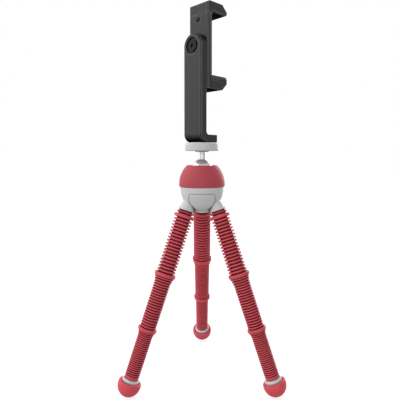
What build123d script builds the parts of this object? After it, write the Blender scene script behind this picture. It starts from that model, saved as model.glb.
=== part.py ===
from build123d import *
from math import asin, cos, degrees, radians, sin, sqrt
import os

os.makedirs("parts", exist_ok=True)

# Flexible leg tripod with a ball head and a phone clamp.
# Millimetres, +Z up, floor at z = 0, origin under the middle of the three feet.
# The two front legs and the back of the clamp face -Y.

# Legs: name and direction about the column, in degrees from +X
leg_directions = {"left": 210, "right": 330, "rear": 90}
leg_splay_deg = 20.7
root_reach = 18.4

# Bendable core wire and its bore in the rubber
wire_radius = 2.0
wire_clearance = 0.15

# Rubber ribs share one flank; each stage has its own pitch, rib and groove
rib_flank = 0.2
groove_radius = 5.65

# Root of a leg, under its shoulder
root_rib_thickness = 2.8
root_rib_radius = 9.1
root_gap = 1.4
thin_rib_thickness = 1.3
thin_rib_radius = 7.75
thin_rib_seat = 1.3

# Upper stage
upper_ribs = 17
upper_pitch = 2.86
upper_rib_thickness = 1.5
upper_rib_radius = 8.25
upper_lead = 2.3
upper_tail = 2.11
neck_a_ribs = 5
link_ribs = 1
neck_b_ribs = 4

# First ring
ring_1_thickness = 2.9
ring_1_radius = 9.1

# Middle stage, flared under its ring
middle_ribs = 20
middle_pitch = 2.205
middle_rib_thickness = 1.1
middle_rib_radius = 7.15
middle_end_radius = 6.4
middle_groove_depth = 1.5
middle_flare = 1.2
middle_flare_shares = (1.0, 0.5, 0.1)
middle_lead = 1.25
middle_tail = 1.6
neck_c_ribs = 6

# Second ring
ring_2_thickness = 2.4
ring_2_radius = 7.8

# Lower stage, with a plain band at its end
lower_ribs = 23
lower_pitch = 1.665
lower_rib_thickness = 0.85
lower_rib_radius = 6.05
lower_end_radius = 5.8
lower_groove_depth = 1.15
lower_flare = 0.9
lower_flare_shares = (1.0, 0.3)
lower_lead = 1.0
lower_tail = 0.7
neck_d_ribs = 8
band_length = 1.8
band_radius = 5.5

# Foot: a plastic hub in a rubber ball
foot_radius = 9.75
foot_hub_rise = 4.7
foot_rim_rise = 4.4
foot_lip_edge = 0.9
foot_lip_rise = 3.4
foot_lip_radius = 7.9
foot_hub_radius = 7.3
foot_hub_side_rise = 3.5
foot_hub_shoulder_radius = 7.05
foot_hub_shoulder_rise = 4.3
foot_hub_crown_radius = 6.5
foot_hub_crown_rise = 4.85
foot_hub_crest_radius = 6.1
foot_hub_crest_rise = 4.9
foot_hub_top_radius = 5.65
foot_hub_seat = 2.2
foot_hub_stub_radius = 5.2
foot_hub_depth = 5.8
foot_hub_fit = 0.1
wire_end_depth = 4.0

# Housing: a bowl that carries three shoulders
shoulder_face_radius = 7.0
shoulder_lip_radius = 7.3
shoulder_lip_height = 0.9
shoulder_top_radius = 4.4
shoulder_length = 8.5
seam_above_root = 26.13
bowl_seam_radius = 19.8
bowl_middle_drop = 6.3
bowl_middle_radius = 19.15
bowl_drop = 12.6
bowl_low_radius = 16.9
skirt_drop = 21.0
skirt_radius = 11.0
skirt_bulge = 0.8
core_inset = 2.2
core_end_drop = 23.2
core_end_radius = 8.0

# Shield panels between the shoulders
panel_top_drop = 5.6
panel_half_width = 11.4
panel_straight = 4.2
panel_low_half_width = 5.3
panel_low_drop = 19.3
panel_foot_drop = 20.3
panel_corner = 2.2
panel_side_bulge = 1.0
panel_gap = 0.35
panel_reach = 26.0

# Cup inside the bowl, for the race under the ball
cup_radius = 14.5
cup_floor_drop = 8.5
spigot_radius = 17.5
spigot_height = 7.6
fit_clearance = 0.06
slide_clearance = 0.12
face_clearance = 0.2

# Leg plugs, crimped on the wires and pulled into the shoulders by screws
plug_radius = 3.2
plug_length = 8.0
plug_recess = 1.5
plug_screw_radius = 1.3
plug_screw_length = 5.0
plug_head_radius = 2.2
plug_head_height = 1.8
plug_socket_radius = 1.1
plug_socket_depth = 1.0
counterbore_extra = 0.3

# Ball, its stem and the thread through the disc
ball_radius = 9.75
ball_above_seam = 15.5
stem_radius = 3.025
stem_end_rise = 15.4
thread_radius = 3.175
thread_end_rise = 29.7
thread_point = 0.6

# Race under the ball and the spring washer that lifts it
race_radius = 12.2
race_top_drop = 3.1
race_flange_height = 2.6
race_flange_drop = 22.1
race_hole_radius = 5.0
race_rim_slope = 1.2
washer_thickness = 0.5
washer_inner_radius = 7.0
washer_outer_radius = 10.4

# Seat ring over the ball
seat_radius = 12.3
seat_bottom_drop = 2.4
seat_shoulder_rise = 1.2
seat_lip_radius = 10.0
seat_lip_rise = 2.9

# Lock collar over the bowl, an ellipse in profile
collar_radius = 20.86
collar_centre_rise = 1.8
collar_rise = 22.6
collar_height = 18.8
collar_low_edge = 0.5
collar_mouth_edge = 0.5
collar_funnel_radius = 10.35
collar_funnel_rise = 2.4
collar_ceiling_drop = 5.7

# Platform disc under the phone mount
disc_radius = 15.25
disc_rise = 16.8
disc_thickness = 7.4
disc_bevel = 1.0
disc_hub_radius = 6.35
disc_hub_height = 1.0
disc_thread_clearance = 0.07

# Phone mount: it is drawn facing +Y and then turned about the column
mount_turn_deg = -45
arm_width = 22.0
arm_back = 12.7
arm_front = 5.3
arm_cover_thickness = 2.4
arm_pivot_height = 85.2
arm_foot_reach = 8.3
arm_foot_thickness = 6.9
arm_heel_radius = 7.0
arm_cover_toe = 5.7
arm_cover_lift = 0.3
arm_inner_fillet = 3.0
arm_edge = 1.2
arm_foot_edge = 0.7
arm_groove_width = 0.5
arm_groove_depth = 0.6
insert_radius = 4.75
insert_length = 6.0
insert_clearance = 0.06

# Pivot between arm and clamp
pivot_recess_radius = 7.55
pivot_recess_depth = 1.5
pivot_head_radius = 5.15
pivot_head_height = 1.2
pivot_socket_radius = 1.9
pivot_socket_depth = 0.8
pivot_shank_radius = 2.4
pivot_nut_radius = 4.2
pivot_nut_thickness = 1.6
washer_gap = 0.6
pivot_washer_radius = 7.0

# Two screws that hold the cover on the arm, from the front
cover_screw_radius = 0.9
cover_screw_head_radius = 1.7
cover_screw_head_height = 1.0
cover_screw_length = 5.6
cover_screw_heights_shares = (0.2, 0.62)

# Clamp
clamp_width = 24.0
clamp_thickness = 5.7
clamp_cover_thickness = 2.0
clamp_below_pivot = 37.5
clamp_above_pivot = 29.0
clamp_edge = 1.3
jaw_reach = 20.2
lower_jaw_height = 11.9
upper_jaw_height = 10.1
jaw_chamfer_length = 6.0
jaw_chamfer_height = 5.9
jaw_tip_radius = 3.2
jaw_back_radius = 3.0
jaw_edge = 0.6
pad_thickness = 1.6
slit_start = 1.3
slit_end = 11.7
slit_drop = 3.6
slit_width = 0.8
slit_depth = 0.6
upper_pad_lift = 0.6
jaw_seam = 0.2
jaw_travel = 35.0

# Guide rods of the upper jaw, in two channels with their springs
rod_radius = 1.0
rod_offset = 7.4
spring_solid_length = 3.5
rod_grip = 6.0
rod_collar_radius = 1.5
rod_collar_height = 1.5
channel_radius = 1.75
channel_stop = 4.0
channel_floor = 2.0
spring_radius = 1.6
spring_wire = 0.4
channel_depth = 1.9

# Screw that holds the clamp's halves together
clamp_screw_drop = 4.9
clamp_screw_radius = 1.1
clamp_screw_head_radius = 2.1
clamp_screw_head_height = 1.2
clamp_screw_recess_radius = 2.6
clamp_screw_recess_depth = 1.6
clamp_screw_length = 3.2
screw_slot_width = 0.5
screw_slot_depth = 0.5

# Cuts run this far past the faces that they open
overrun = 1.0

# Stations down a leg, from the middle of its root rib
root_end = root_rib_thickness / 2
upper_first = root_end + upper_lead
upper_last = upper_first + (upper_ribs - 1) * upper_pitch
ring_1_start = upper_last + upper_tail
ring_1_end = ring_1_start + ring_1_thickness
middle_first = ring_1_end + middle_lead
middle_last = middle_first + (middle_ribs - 1) * middle_pitch
ring_2_start = middle_last + middle_tail
ring_2_end = ring_2_start + ring_2_thickness
lower_first = ring_2_end + lower_lead
lower_last = lower_first + (lower_ribs - 1) * lower_pitch
band_start = lower_last + lower_tail
band_end = band_start + band_length
leg_length = band_end + foot_hub_rise
foot_stub_end = leg_length + foot_hub_depth - foot_hub_seat
shoulder_face = -(root_end + root_gap + thin_rib_thickness + thin_rib_seat)
plug_start = shoulder_face - plug_length
plug_seat = plug_start - plug_screw_length / 2
wire_start = shoulder_face + plug_recess - plug_length / 2

# Places worked out from the legs
splay = radians(leg_splay_deg)
foot_circle_radius = root_reach + leg_length * sin(splay)
root_height = foot_radius + leg_length * cos(splay)
leg_sines = [sin(radians(angle)) for angle in leg_directions.values()]
column_y = -foot_circle_radius * (max(leg_sines) + min(leg_sines)) / 2
seam_height = root_height + seam_above_root
ball_height = seam_height + ball_above_seam
disc_bottom = ball_height + disc_rise
disc_top = disc_bottom + disc_thickness
bore_radius = wire_radius + wire_clearance
socket_ball_radius = ball_radius + fit_clearance
arm_joint = arm_back - arm_cover_thickness
clamp_back = arm_front - washer_gap
clamp_front = clamp_thickness - clamp_back
clamp_split = clamp_front - clamp_cover_thickness
clamp_low = arm_pivot_height - clamp_below_pivot
clamp_high = arm_pivot_height + clamp_above_pivot
lower_pad_top = clamp_low + lower_jaw_height
upper_pad_bottom = clamp_high + upper_pad_lift
jaw_top = clamp_high + upper_jaw_height
channel_middle = clamp_split - channel_depth / 2
rod_length = rod_grip + channel_stop + jaw_travel + spring_solid_length + rod_collar_height
column = Location((0, column_y, 0))


def leg_place(direction):
    """Frame of a leg: its own +Z runs down the leg from the middle of the root rib."""
    angle = radians(direction)
    out = Vector(cos(angle), sin(angle), 0)
    origin = Vector(0, column_y, root_height) + out * root_reach
    down = out * sin(splay) - Vector(0, 0, cos(splay))
    side = out * cos(splay) + Vector(0, 0, sin(splay))
    return Plane(origin=origin, x_dir=side, z_dir=down)


def turned(points):
    """Solid of revolution about Z from (radius, height) points."""
    with BuildPart() as body:
        with BuildSketch(Plane.XZ):
            with BuildLine():
                Polyline(*points, close=True)
            make_face()
        revolve(axis=Axis.Z)
    return body.part


def rod(radius, start, end):
    """Round rod along Z from start to end."""
    return Pos(0, 0, start) * Cylinder(
        radius, end - start, align=(Align.CENTER, Align.CENTER, Align.MIN)
    )


def block(x_low, x_high, y_low, y_high, z_low, z_high):
    """Box between two corners."""
    return Pos(x_low, y_low, z_low) * Box(
        x_high - x_low,
        y_high - y_low,
        z_high - z_low,
        align=(Align.MIN, Align.MIN, Align.MIN),
    )


def on_column(shape):
    """Moves a shape drawn about Z to the column."""
    return column * shape


# Ribbed legs

def ribbed(start, end, ribs):
    """Rubber sleeve with ribs, each (middle, thickness, radius, groove radius)."""
    points = [(bore_radius, start)]
    floor = ribs[0][3]
    points.append((floor, start))
    for middle, thickness, radius, groove in ribs:
        low = middle - thickness / 2
        high = middle + thickness / 2
        if low - rib_flank > start:
            points.append((groove, low - rib_flank))
        points.append((radius, low))
        points.append((radius, high))
        if high + rib_flank < end:
            points.append((groove, high + rib_flank))
        floor = groove
    if ribs[-1][0] + ribs[-1][1] / 2 + rib_flank < end:
        points.append((floor, end))
    points.append((bore_radius, end))
    return turned(points)


def upper_rows():
    """Ribs of the upper stage, all alike."""
    return [
        (upper_first + i * upper_pitch, upper_rib_thickness, upper_rib_radius, groove_radius)
        for i in range(upper_ribs)
    ]


def tapered_rows(first, pitch, count, thickness, sizes, flare, flare_shares):
    """Ribs that taper down a stage, with the first ones flared out."""
    big, small, depth = sizes
    rows = []
    for i in range(count):
        radius = big + (small - big) * i / (count - 1)
        groove = radius - depth
        if i < len(flare_shares):
            radius = radius + flare * flare_shares[i]
        rows.append((first + i * pitch, thickness, radius, groove))
    return rows


def middle_rows():
    """Ribs of the middle stage."""
    sizes = (middle_rib_radius, middle_end_radius, middle_groove_depth)
    return tapered_rows(
        middle_first, middle_pitch, middle_ribs, middle_rib_thickness,
        sizes, middle_flare, middle_flare_shares,
    )


def lower_rows():
    """Ribs of the lower stage."""
    sizes = (lower_rib_radius, lower_end_radius, lower_groove_depth)
    return tapered_rows(
        lower_first, lower_pitch, lower_ribs, lower_rib_thickness,
        sizes, lower_flare, lower_flare_shares,
    )


def between(first, pitch, count):
    """Station in the groove before rib number count of a stage."""
    return first + (count - 1 / 2) * pitch


neck_a_start = between(upper_first, upper_pitch, 0)
neck_a_end = between(upper_first, upper_pitch, neck_a_ribs)
link_end = between(upper_first, upper_pitch, neck_a_ribs + link_ribs)
neck_b_end = between(upper_first, upper_pitch, neck_a_ribs + link_ribs + neck_b_ribs)
neck_c_end = between(middle_first, middle_pitch, neck_c_ribs)
neck_d_end = between(lower_first, lower_pitch, neck_d_ribs)


def root_collar():
    """Thick and thin rib at the root of a leg, against the shoulder."""
    thin_start = shoulder_face + thin_rib_seat
    thin = (thin_start + thin_rib_thickness / 2, thin_rib_thickness, thin_rib_radius, groove_radius)
    thick = (0, root_rib_thickness, root_rib_radius, groove_radius)
    return ribbed(shoulder_face, neck_a_start, [thin, thick])


def leg_nodes():
    """The pieces of one leg in its own frame, by the last part of their names."""
    upper = upper_rows()
    middle = middle_rows()
    lower = lower_rows()
    link_at = neck_a_ribs + link_ribs
    neck_b_at = link_at + neck_b_ribs
    ring_1 = (ring_1_start + ring_1_thickness / 2, ring_1_thickness, ring_1_radius, groove_radius)
    ring_2_groove = middle[-1][3]
    ring_2 = (ring_2_start + ring_2_thickness / 2, ring_2_thickness, ring_2_radius, ring_2_groove)
    band = (band_start + band_length / 2, band_length, band_radius, lower[-1][3])
    return {
        "neck_a": ribbed(neck_a_start, neck_a_end, upper[:neck_a_ribs]),
        "link": ribbed(neck_a_end, link_end, upper[neck_a_ribs:link_at]),
        "neck_b": ribbed(link_end, neck_b_end, upper[link_at:neck_b_at]),
        "upper_sleeve": ribbed(neck_b_end, ring_1_end, upper[neck_b_at:] + [ring_1]),
        "neck_c": ribbed(ring_1_end, neck_c_end, middle[:neck_c_ribs]),
        "middle_sleeve": ribbed(neck_c_end, ring_2_end, middle[neck_c_ribs:] + [ring_2]),
        "neck_d": ribbed(ring_2_end, neck_d_end, lower[:neck_d_ribs]),
        "lower_sleeve": ribbed(neck_d_end, band_end, lower[neck_d_ribs:] + [band]),
        "foot_hub": foot_hub(),
        "foot_ball": foot_ball(),
    }


def foot_hub():
    """Domed ring in the ball's mouth, with a stub inside the ball that grips the wire."""
    seat = leg_length - foot_hub_seat
    body = turned([
        (0, band_end),
        (foot_hub_top_radius, band_end),
        (foot_hub_crest_radius, leg_length - foot_hub_crest_rise),
        (foot_hub_crown_radius, leg_length - foot_hub_crown_rise),
        (foot_hub_shoulder_radius, leg_length - foot_hub_shoulder_rise),
        (foot_hub_radius, leg_length - foot_hub_side_rise),
        (foot_hub_radius, seat),
        (foot_hub_stub_radius, seat),
        (foot_hub_stub_radius, foot_stub_end),
        (0, foot_stub_end),
    ])
    return body - rod(bore_radius, band_end - overrun, band_end + wire_end_depth + wire_clearance)


def foot_ball():
    """Rubber ball, open at its top for the hub."""
    centre = Pos(0, 0, leg_length)
    ball = centre * Sphere(foot_radius)
    ball = ball - rod(foot_radius, leg_length - foot_radius - overrun, leg_length - foot_rim_rise)
    ball = fillet(ball.edges().sort_by(Axis.Z)[:1], foot_lip_edge)
    mouth_radius = foot_hub_radius + foot_hub_fit
    mouth = turned([
        (0, leg_length - foot_rim_rise - overrun),
        (foot_lip_radius, leg_length - foot_rim_rise - overrun),
        (foot_lip_radius, leg_length - foot_rim_rise),
        (mouth_radius, leg_length - foot_lip_rise),
        (mouth_radius, leg_length - foot_hub_seat),
        (foot_hub_stub_radius + foot_hub_fit, leg_length - foot_hub_seat),
        (foot_hub_stub_radius + foot_hub_fit, foot_stub_end),
        (0, foot_stub_end),
    ])
    return ball - mouth


def core_wire():
    """Bendable wire from the plug in the shoulder to the hub in the foot."""
    return rod(wire_radius, wire_start, band_end + wire_end_depth)


def leg_plug():
    """Ferrule on the wire's upper end, seated in the shoulder's socket."""
    body = rod(plug_radius, plug_start, shoulder_face)
    body = body - rod(bore_radius, wire_start - wire_clearance, overrun)
    return body - rod(plug_screw_radius, plug_start - overrun, plug_start + plug_screw_length / 2)


def plug_screw():
    """Cap screw that pulls the plug up into the shoulder, from inside the cup."""
    top = plug_seat - plug_head_height
    shank = rod(plug_screw_radius, plug_seat, plug_start + plug_screw_length / 2)
    head = rod(plug_head_radius, top, plug_seat)
    with BuildPart() as socket:
        with BuildSketch(Plane.XY.offset(top)):
            RegularPolygon(plug_socket_radius, 6)
        extrude(amount=plug_socket_depth)
    return shank + head - socket.part


# Housing

def bowl_profile():
    """Outer profile of the bowl from the seam down to its waist, about the column."""
    top = (bowl_seam_radius, seam_height)
    middle = (bowl_middle_radius, seam_height - bowl_middle_drop)
    low = (bowl_low_radius, seam_height - bowl_drop)
    return top, middle, low


def bowl_form(inset):
    """Bowl and skirt, drawn in by inset, down to the skirt's edge."""
    top, middle, low = bowl_profile()
    edge_radius = skirt_radius - inset
    edge_height = seam_height - skirt_drop
    belly_radius = (bowl_low_radius - inset + edge_radius) / 2 + skirt_bulge
    belly_height = (low[1] + edge_height) / 2
    with BuildPart() as body:
        with BuildSketch(Plane.XZ):
            with BuildLine():
                Line((0, top[1]), (top[0] - inset, top[1]))
                ThreePointArc(
                    (top[0] - inset, top[1]),
                    (middle[0] - inset, middle[1]),
                    (low[0] - inset, low[1]),
                )
                ThreePointArc(
                    (low[0] - inset, low[1]),
                    (belly_radius, belly_height),
                    (edge_radius, edge_height),
                )
                Polyline((edge_radius, edge_height), (0, edge_height), (0, top[1]))
            make_face()
        revolve(axis=Axis.Z)
    return body.part


def panel_prism(grow):
    """Shield outline seen from the front, drawn grown by grow, through the bowl's wall."""
    top = seam_height - panel_top_drop + grow
    half = panel_half_width + grow
    straight = seam_height - panel_top_drop - panel_corner - panel_straight
    low_half = panel_low_half_width + grow
    low = seam_height - panel_low_drop
    foot = seam_height - panel_foot_drop - grow
    corner = panel_corner + grow
    side_x = (half + low_half) / 2 + panel_side_bulge
    side_z = (straight + low) / 2
    with BuildPart() as prism:
        with BuildSketch(Plane.XZ):
            with BuildLine():
                ThreePointArc((-low_half, low), (0, foot), (low_half, low))
                ThreePointArc((low_half, low), (side_x, side_z), (half, straight))
                Line((half, straight), (half, top - corner))
                RadiusArc((half, top - corner), (half - corner, top), -corner)
                Line((half - corner, top), (corner - half, top))
                RadiusArc((corner - half, top), (-half, top - corner), -corner)
                Line((-half, top - corner), (-half, straight))
                ThreePointArc((-half, straight), (-side_x, side_z), (-low_half, low))
            make_face()
        extrude(amount=panel_reach)
    return prism.part


def facing_legs():
    """Turns that carry a panel drawn towards -Y into the three gaps between the legs."""
    step = 360 / len(leg_directions)
    return [Rot(0, 0, step * i) for i in range(len(leg_directions))]


def shoulder(grow):
    """Cone and lip on a leg's axis, in the leg's frame, grown by grow."""
    top = shoulder_face - shoulder_lip_height - shoulder_length
    return turned([
        (0, top),
        (shoulder_top_radius + grow, top),
        (shoulder_face_radius + grow, shoulder_face - shoulder_lip_height),
        (shoulder_lip_radius + grow, shoulder_face - shoulder_lip_height),
        (shoulder_lip_radius + grow, shoulder_face),
        (0, shoulder_face),
    ])


def core_form():
    """Solid middle of the housing behind the panels."""
    waist_radius = bowl_low_radius - core_inset
    waist = seam_height - bowl_drop
    edge = seam_height - core_end_drop
    return turned([
        (0, waist),
        (waist_radius, waist),
        (skirt_radius - core_inset, seam_height - skirt_drop),
        (core_end_radius, edge),
        (0, edge),
    ])


def spigot():
    """Threaded spigot that the lock collar turns on."""
    return rod(spigot_radius, seam_height, seam_height + spigot_height)


def plug_sockets():
    """Sockets for the plugs, with the holes and head room of their screws."""
    socket = rod(plug_radius, plug_start, shoulder_face + overrun)
    hole = rod(plug_screw_radius + fit_clearance, plug_seat - overrun, plug_start + overrun)
    head_room = rod(plug_head_radius + counterbore_extra, plug_seat - cup_radius, plug_seat)
    tool = socket + hole + head_room
    return [leg_place(direction) * tool for direction in leg_directions.values()]


def housing_shell():
    """Bowl with three shoulders, panel pockets, the cup and the plug sockets."""
    waist = seam_height - bowl_drop
    upper = bowl_form(0) & rod(2 * bowl_seam_radius, waist, seam_height)
    pockets = panel_prism(panel_gap) - bowl_form(core_inset)
    for turn in facing_legs():
        upper = upper - turn * pockets
    body = on_column(upper + core_form() + spigot())
    for direction in leg_directions.values():
        body = body + leg_place(direction) * shoulder(0)
    cup_floor = seam_height - cup_floor_drop
    body = body - on_column(rod(cup_radius, cup_floor, seam_height + spigot_height + overrun))
    for tool in plug_sockets():
        body = body - tool
    return body


def housing_panels():
    """Three shield panels seated in their pockets."""
    panel = (panel_prism(0) & bowl_form(0)) - bowl_form(core_inset) - core_form()
    panels = [on_column(turn * panel) for turn in facing_legs()]
    for direction in leg_directions.values():
        room = leg_place(direction) * shoulder(panel_gap)
        panels = [shape - room for shape in panels]
    return panels


def housing():
    """Nodes that stay with the housing."""
    places = [leg_place(direction) for direction in leg_directions.values()]
    return {
        "housing_shell": [housing_shell()],
        "housing_panels": housing_panels(),
        "leg_plugs": [place * leg_plug() for place in places],
        "plug_screws": [place * plug_screw() for place in places],
        "leg_root_collars": [place * root_collar() for place in places],
        "core_wires": [place * core_wire() for place in places],
        "spring_washer": [on_column(spring_washer())],
    }


# Ball head

def spring_washer():
    """Cupped spring washer on the floor of the cup, under the race."""
    low = seam_height - cup_floor_drop
    high = ball_height - race_flange_drop
    return turned([
        (washer_inner_radius, high - washer_thickness),
        (washer_outer_radius, low),
        (washer_outer_radius, low + washer_thickness),
        (washer_inner_radius, high),
    ])


def ball_race():
    """Cup under the ball; its flange slides in the bowl."""
    low = ball_height - race_flange_drop
    flange_top = low + race_flange_height
    top = ball_height - race_top_drop
    body = turned([
        (race_hole_radius, low),
        (cup_radius - slide_clearance, low),
        (cup_radius - slide_clearance, flange_top),
        (race_radius, flange_top),
        (race_radius, top - race_rim_slope),
        (race_radius - race_rim_slope, top),
        (race_hole_radius, top),
    ])
    return body - Pos(0, 0, ball_height) * Sphere(socket_ball_radius)


def ball_seat():
    """Ring over the ball's equator, held under the collar's lip."""
    low = ball_height - seat_bottom_drop
    shoulder_top = ball_height + seat_shoulder_rise
    lip_top = ball_height + seat_lip_rise
    inner = sqrt(ball_radius**2 - seat_lip_rise**2) - fit_clearance
    body = turned([
        (inner, low),
        (seat_radius, low),
        (seat_radius, shoulder_top),
        (seat_lip_radius, shoulder_top),
        (seat_lip_radius, lip_top),
        (inner, lip_top),
    ])
    return body - Pos(0, 0, ball_height) * Sphere(socket_ball_radius)


def ball_stud():
    """Steel ball with its stem and the camera thread through the disc."""
    ball = Pos(0, 0, ball_height) * Sphere(ball_radius)
    stem = rod(stem_radius, ball_height, ball_height + stem_end_rise)
    tip = ball_height + thread_end_rise
    thread = turned([
        (0, ball_height + stem_end_rise),
        (thread_radius, ball_height + stem_end_rise),
        (thread_radius, tip - thread_point),
        (thread_radius - thread_point, tip),
        (0, tip),
    ])
    return ball + stem + thread


def collar_form():
    """Solid dome of the collar: an elliptic side between two small flats."""
    middle = seam_height + collar_centre_rise
    low = seam_height + collar_low_edge
    top = seam_height + collar_height
    low_angle = asin((low - middle) / collar_rise)
    top_angle = asin((top - middle) / collar_rise)
    with BuildPart() as body:
        with BuildSketch(Plane.XZ):
            with BuildLine():
                side = EllipticalCenterArc(
                    (0, middle), collar_radius, collar_rise, degrees(low_angle),
                    arc_size=degrees(top_angle - low_angle),
                )
                ends = sorted([side @ 0, side @ 1], key=lambda point: point.Y)
                foot = (ends[0].X - collar_low_edge, seam_height)
                Polyline((ends[0].X, ends[0].Y), foot, (0, seam_height), (0, top), (ends[1].X, ends[1].Y))
            make_face()
        revolve(axis=Axis.Z)
    return body.part


def lock_collar():
    """Domed collar that turns on the spigot and holds the seat over the ball."""
    top = seam_height + collar_height
    mouth_radius = collar_radius * sqrt(1 - ((top - seam_height - collar_centre_rise) / collar_rise) ** 2)
    ceiling = ball_height - collar_ceiling_drop
    shoulder_top = ball_height + seat_shoulder_rise + face_clearance
    funnel = ball_height + collar_funnel_rise
    tool = turned([
        (0, seam_height - overrun),
        (spigot_radius + slide_clearance, seam_height - overrun),
        (spigot_radius + slide_clearance, ceiling),
        (seat_radius + fit_clearance, ceiling),
        (seat_radius + fit_clearance, shoulder_top),
        (collar_funnel_radius, shoulder_top),
        (collar_funnel_radius, funnel),
        (mouth_radius - collar_mouth_edge, top),
        (mouth_radius - collar_mouth_edge, top + overrun),
        (0, top + overrun),
    ])
    return collar_form() - tool


def platform_disc():
    """Disc nut that clamps the phone mount on the thread."""
    bore = thread_radius + disc_thread_clearance
    return turned([
        (bore, disc_bottom - disc_hub_height),
        (disc_hub_radius, disc_bottom - disc_hub_height),
        (disc_hub_radius, disc_bottom),
        (disc_radius, disc_bottom),
        (disc_radius, disc_top - disc_bevel),
        (disc_radius - disc_bevel, disc_top),
        (bore, disc_top),
    ])


def ball_head():
    """Nodes of the ball head."""
    return {
        "lock_collar": [on_column(lock_collar())],
        "ball_race": [on_column(ball_race())],
        "ball_seat": [on_column(ball_seat())],
        "ball_stud": [on_column(ball_stud())],
        "platform_disc": [on_column(platform_disc())],
    }


# Phone mount, drawn with its foot at z = 0 and its back towards -Y

mount_place = Location((0, column_y, disc_top), (0, 0, mount_turn_deg))


def on_mount(shape):
    """Moves a shape from the mount's own frame to the tripod's."""
    return mount_place * shape


def arm_outline(inset):
    """Outline of the arm seen from its back: a strap with a round top."""
    half = arm_width / 2 - inset
    with BuildSketch(Plane.XZ) as sketch:
        with BuildLine():
            Line((-half, inset), (half, inset))
            Line((half, inset), (half, arm_pivot_height))
            RadiusArc((half, arm_pivot_height), (-half, arm_pivot_height), -half)
            Line((-half, arm_pivot_height), (-half, inset))
        make_face()
    return sketch.sketch


def strap(inset, y_back, y_front):
    """The arm's outline as a slab between two depths."""
    return Pos(0, y_front, 0) * extrude(arm_outline(inset), amount=y_front - y_back)


def heel_profile(back, heel, front, toe, thickness, inner, lift):
    """Side profile of an L with a rounded heel, extruded across the arm."""
    top = arm_pivot_height + arm_width
    with BuildPart() as body:
        with BuildSketch(Plane.YZ):
            with BuildLine():
                Line((-back, top), (-back, heel + lift))
                RadiusArc((-back, heel + lift), (heel - back, lift), -heel)
                Line((heel - back, lift), (toe, lift))
                Line((toe, lift), (toe, thickness))
                Line((toe, thickness), (inner - front, thickness))
                RadiusArc((inner - front, thickness), (-front, thickness + inner), inner)
                Line((-front, thickness + inner), (-front, top))
                Line((-front, top), (-back, top))
            make_face()
        extrude(amount=arm_width / 2, both=True)
    return body.part


def arm_l_form(depth):
    """L of the arm with its back and heel drawn in by depth from the cover's outside."""
    return heel_profile(
        arm_back - depth, arm_heel_radius - depth, arm_front, arm_foot_reach,
        arm_foot_thickness, arm_inner_fillet, arm_cover_lift + depth,
    )


def arm_frame_form():
    """L of the arm frame before its outline is cut, with the foot down on the disc."""
    foot = block(
        -arm_width / 2, arm_width / 2, -arm_cover_toe, arm_foot_reach,
        0, arm_cover_lift + arm_cover_thickness,
    )
    return arm_l_form(arm_cover_thickness) + foot


def pivot_hole(radius, y_low, y_high):
    """Round hole or pin through the pivot, along the depth."""
    length = y_high - y_low
    return Pos(0, y_low, arm_pivot_height) * Rot(-90, 0, 0) * Cylinder(
        radius, length, align=(Align.CENTER, Align.CENTER, Align.MIN)
    )


def cover_screw_heights():
    """Heights of the screws that hold the arm's cover."""
    return [share * arm_pivot_height for share in cover_screw_heights_shares]


def depth_rod(radius, x, z, y_low, y_high):
    """Round rod along the depth at a place on the arm."""
    return Pos(x, y_low, z) * Rot(-90, 0, 0) * Cylinder(
        radius, y_high - y_low, align=(Align.CENTER, Align.CENTER, Align.MIN)
    )


def arm_frame():
    """L-shaped frame: the foot sits on the disc and the strap carries the pivot."""
    outline = strap(0, -arm_joint, arm_foot_reach)
    body = arm_frame_form() & outline
    rim = body.edges().filter_by(Axis.X).sort_by(Axis.Y)[-2:]
    body = chamfer(rim, arm_foot_edge)
    body = body - rod(insert_radius, -overrun, insert_length)
    body = body - rod(thread_radius + insert_clearance, -overrun, arm_foot_thickness + overrun)
    body = body - pivot_hole(pivot_shank_radius, -arm_joint - overrun, -arm_front + overrun)
    for height in cover_screw_heights():
        head = depth_rod(cover_screw_head_radius, 0, height, -arm_front - cover_screw_head_height, 0)
        hole = depth_rod(cover_screw_radius, 0, height, -arm_joint - overrun, 0)
        body = body - head - hole
    return body


def arm_cover():
    """Cover on the arm's back and heel, with a groove beside the frame and the pivot's recess."""
    groove_top = arm_l_form(arm_cover_thickness - arm_groove_width)
    skin = (arm_l_form(0) - groove_top) & strap(0, -arm_back, -arm_cover_toe)
    rim = skin.faces().sort_by(Axis.Y)[0].edges()
    skin = chamfer(rim.filter_by(Axis.X, reverse=True), arm_edge)
    inner = (groove_top - arm_frame_form()) & strap(arm_groove_depth, -arm_back, -arm_cover_toe)
    body = skin + inner
    body = body - pivot_hole(pivot_recess_radius, -arm_back - overrun, -arm_back + pivot_recess_depth)
    body = body - pivot_hole(pivot_shank_radius, -arm_back, -arm_joint + overrun)
    for height in cover_screw_heights():
        tip = cover_screw_length - (arm_joint - arm_front) + cover_screw_head_height
        body = body - depth_rod(cover_screw_radius, 0, height, -arm_joint - tip, -arm_joint)
    return body


def thread_insert():
    """Brass insert in the foot that takes the camera thread."""
    ring = rod(insert_radius, 0, insert_length)
    return ring - rod(thread_radius + insert_clearance, -overrun, insert_length + overrun)


def cover_screw(height):
    """Small pan screw through the frame into the cover."""
    seat = -arm_front - cover_screw_head_height
    tip = cover_screw_length - (arm_joint - arm_front) + cover_screw_head_height
    shank = depth_rod(cover_screw_radius, 0, height, -arm_joint - tip, seat)
    head = depth_rod(cover_screw_head_radius, 0, height, seat, -arm_front)
    slot = Pos(0, -arm_front, height) * Box(
        2 * cover_screw_head_radius, screw_slot_depth * 2, screw_slot_width
    )
    return shank + head - slot


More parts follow.
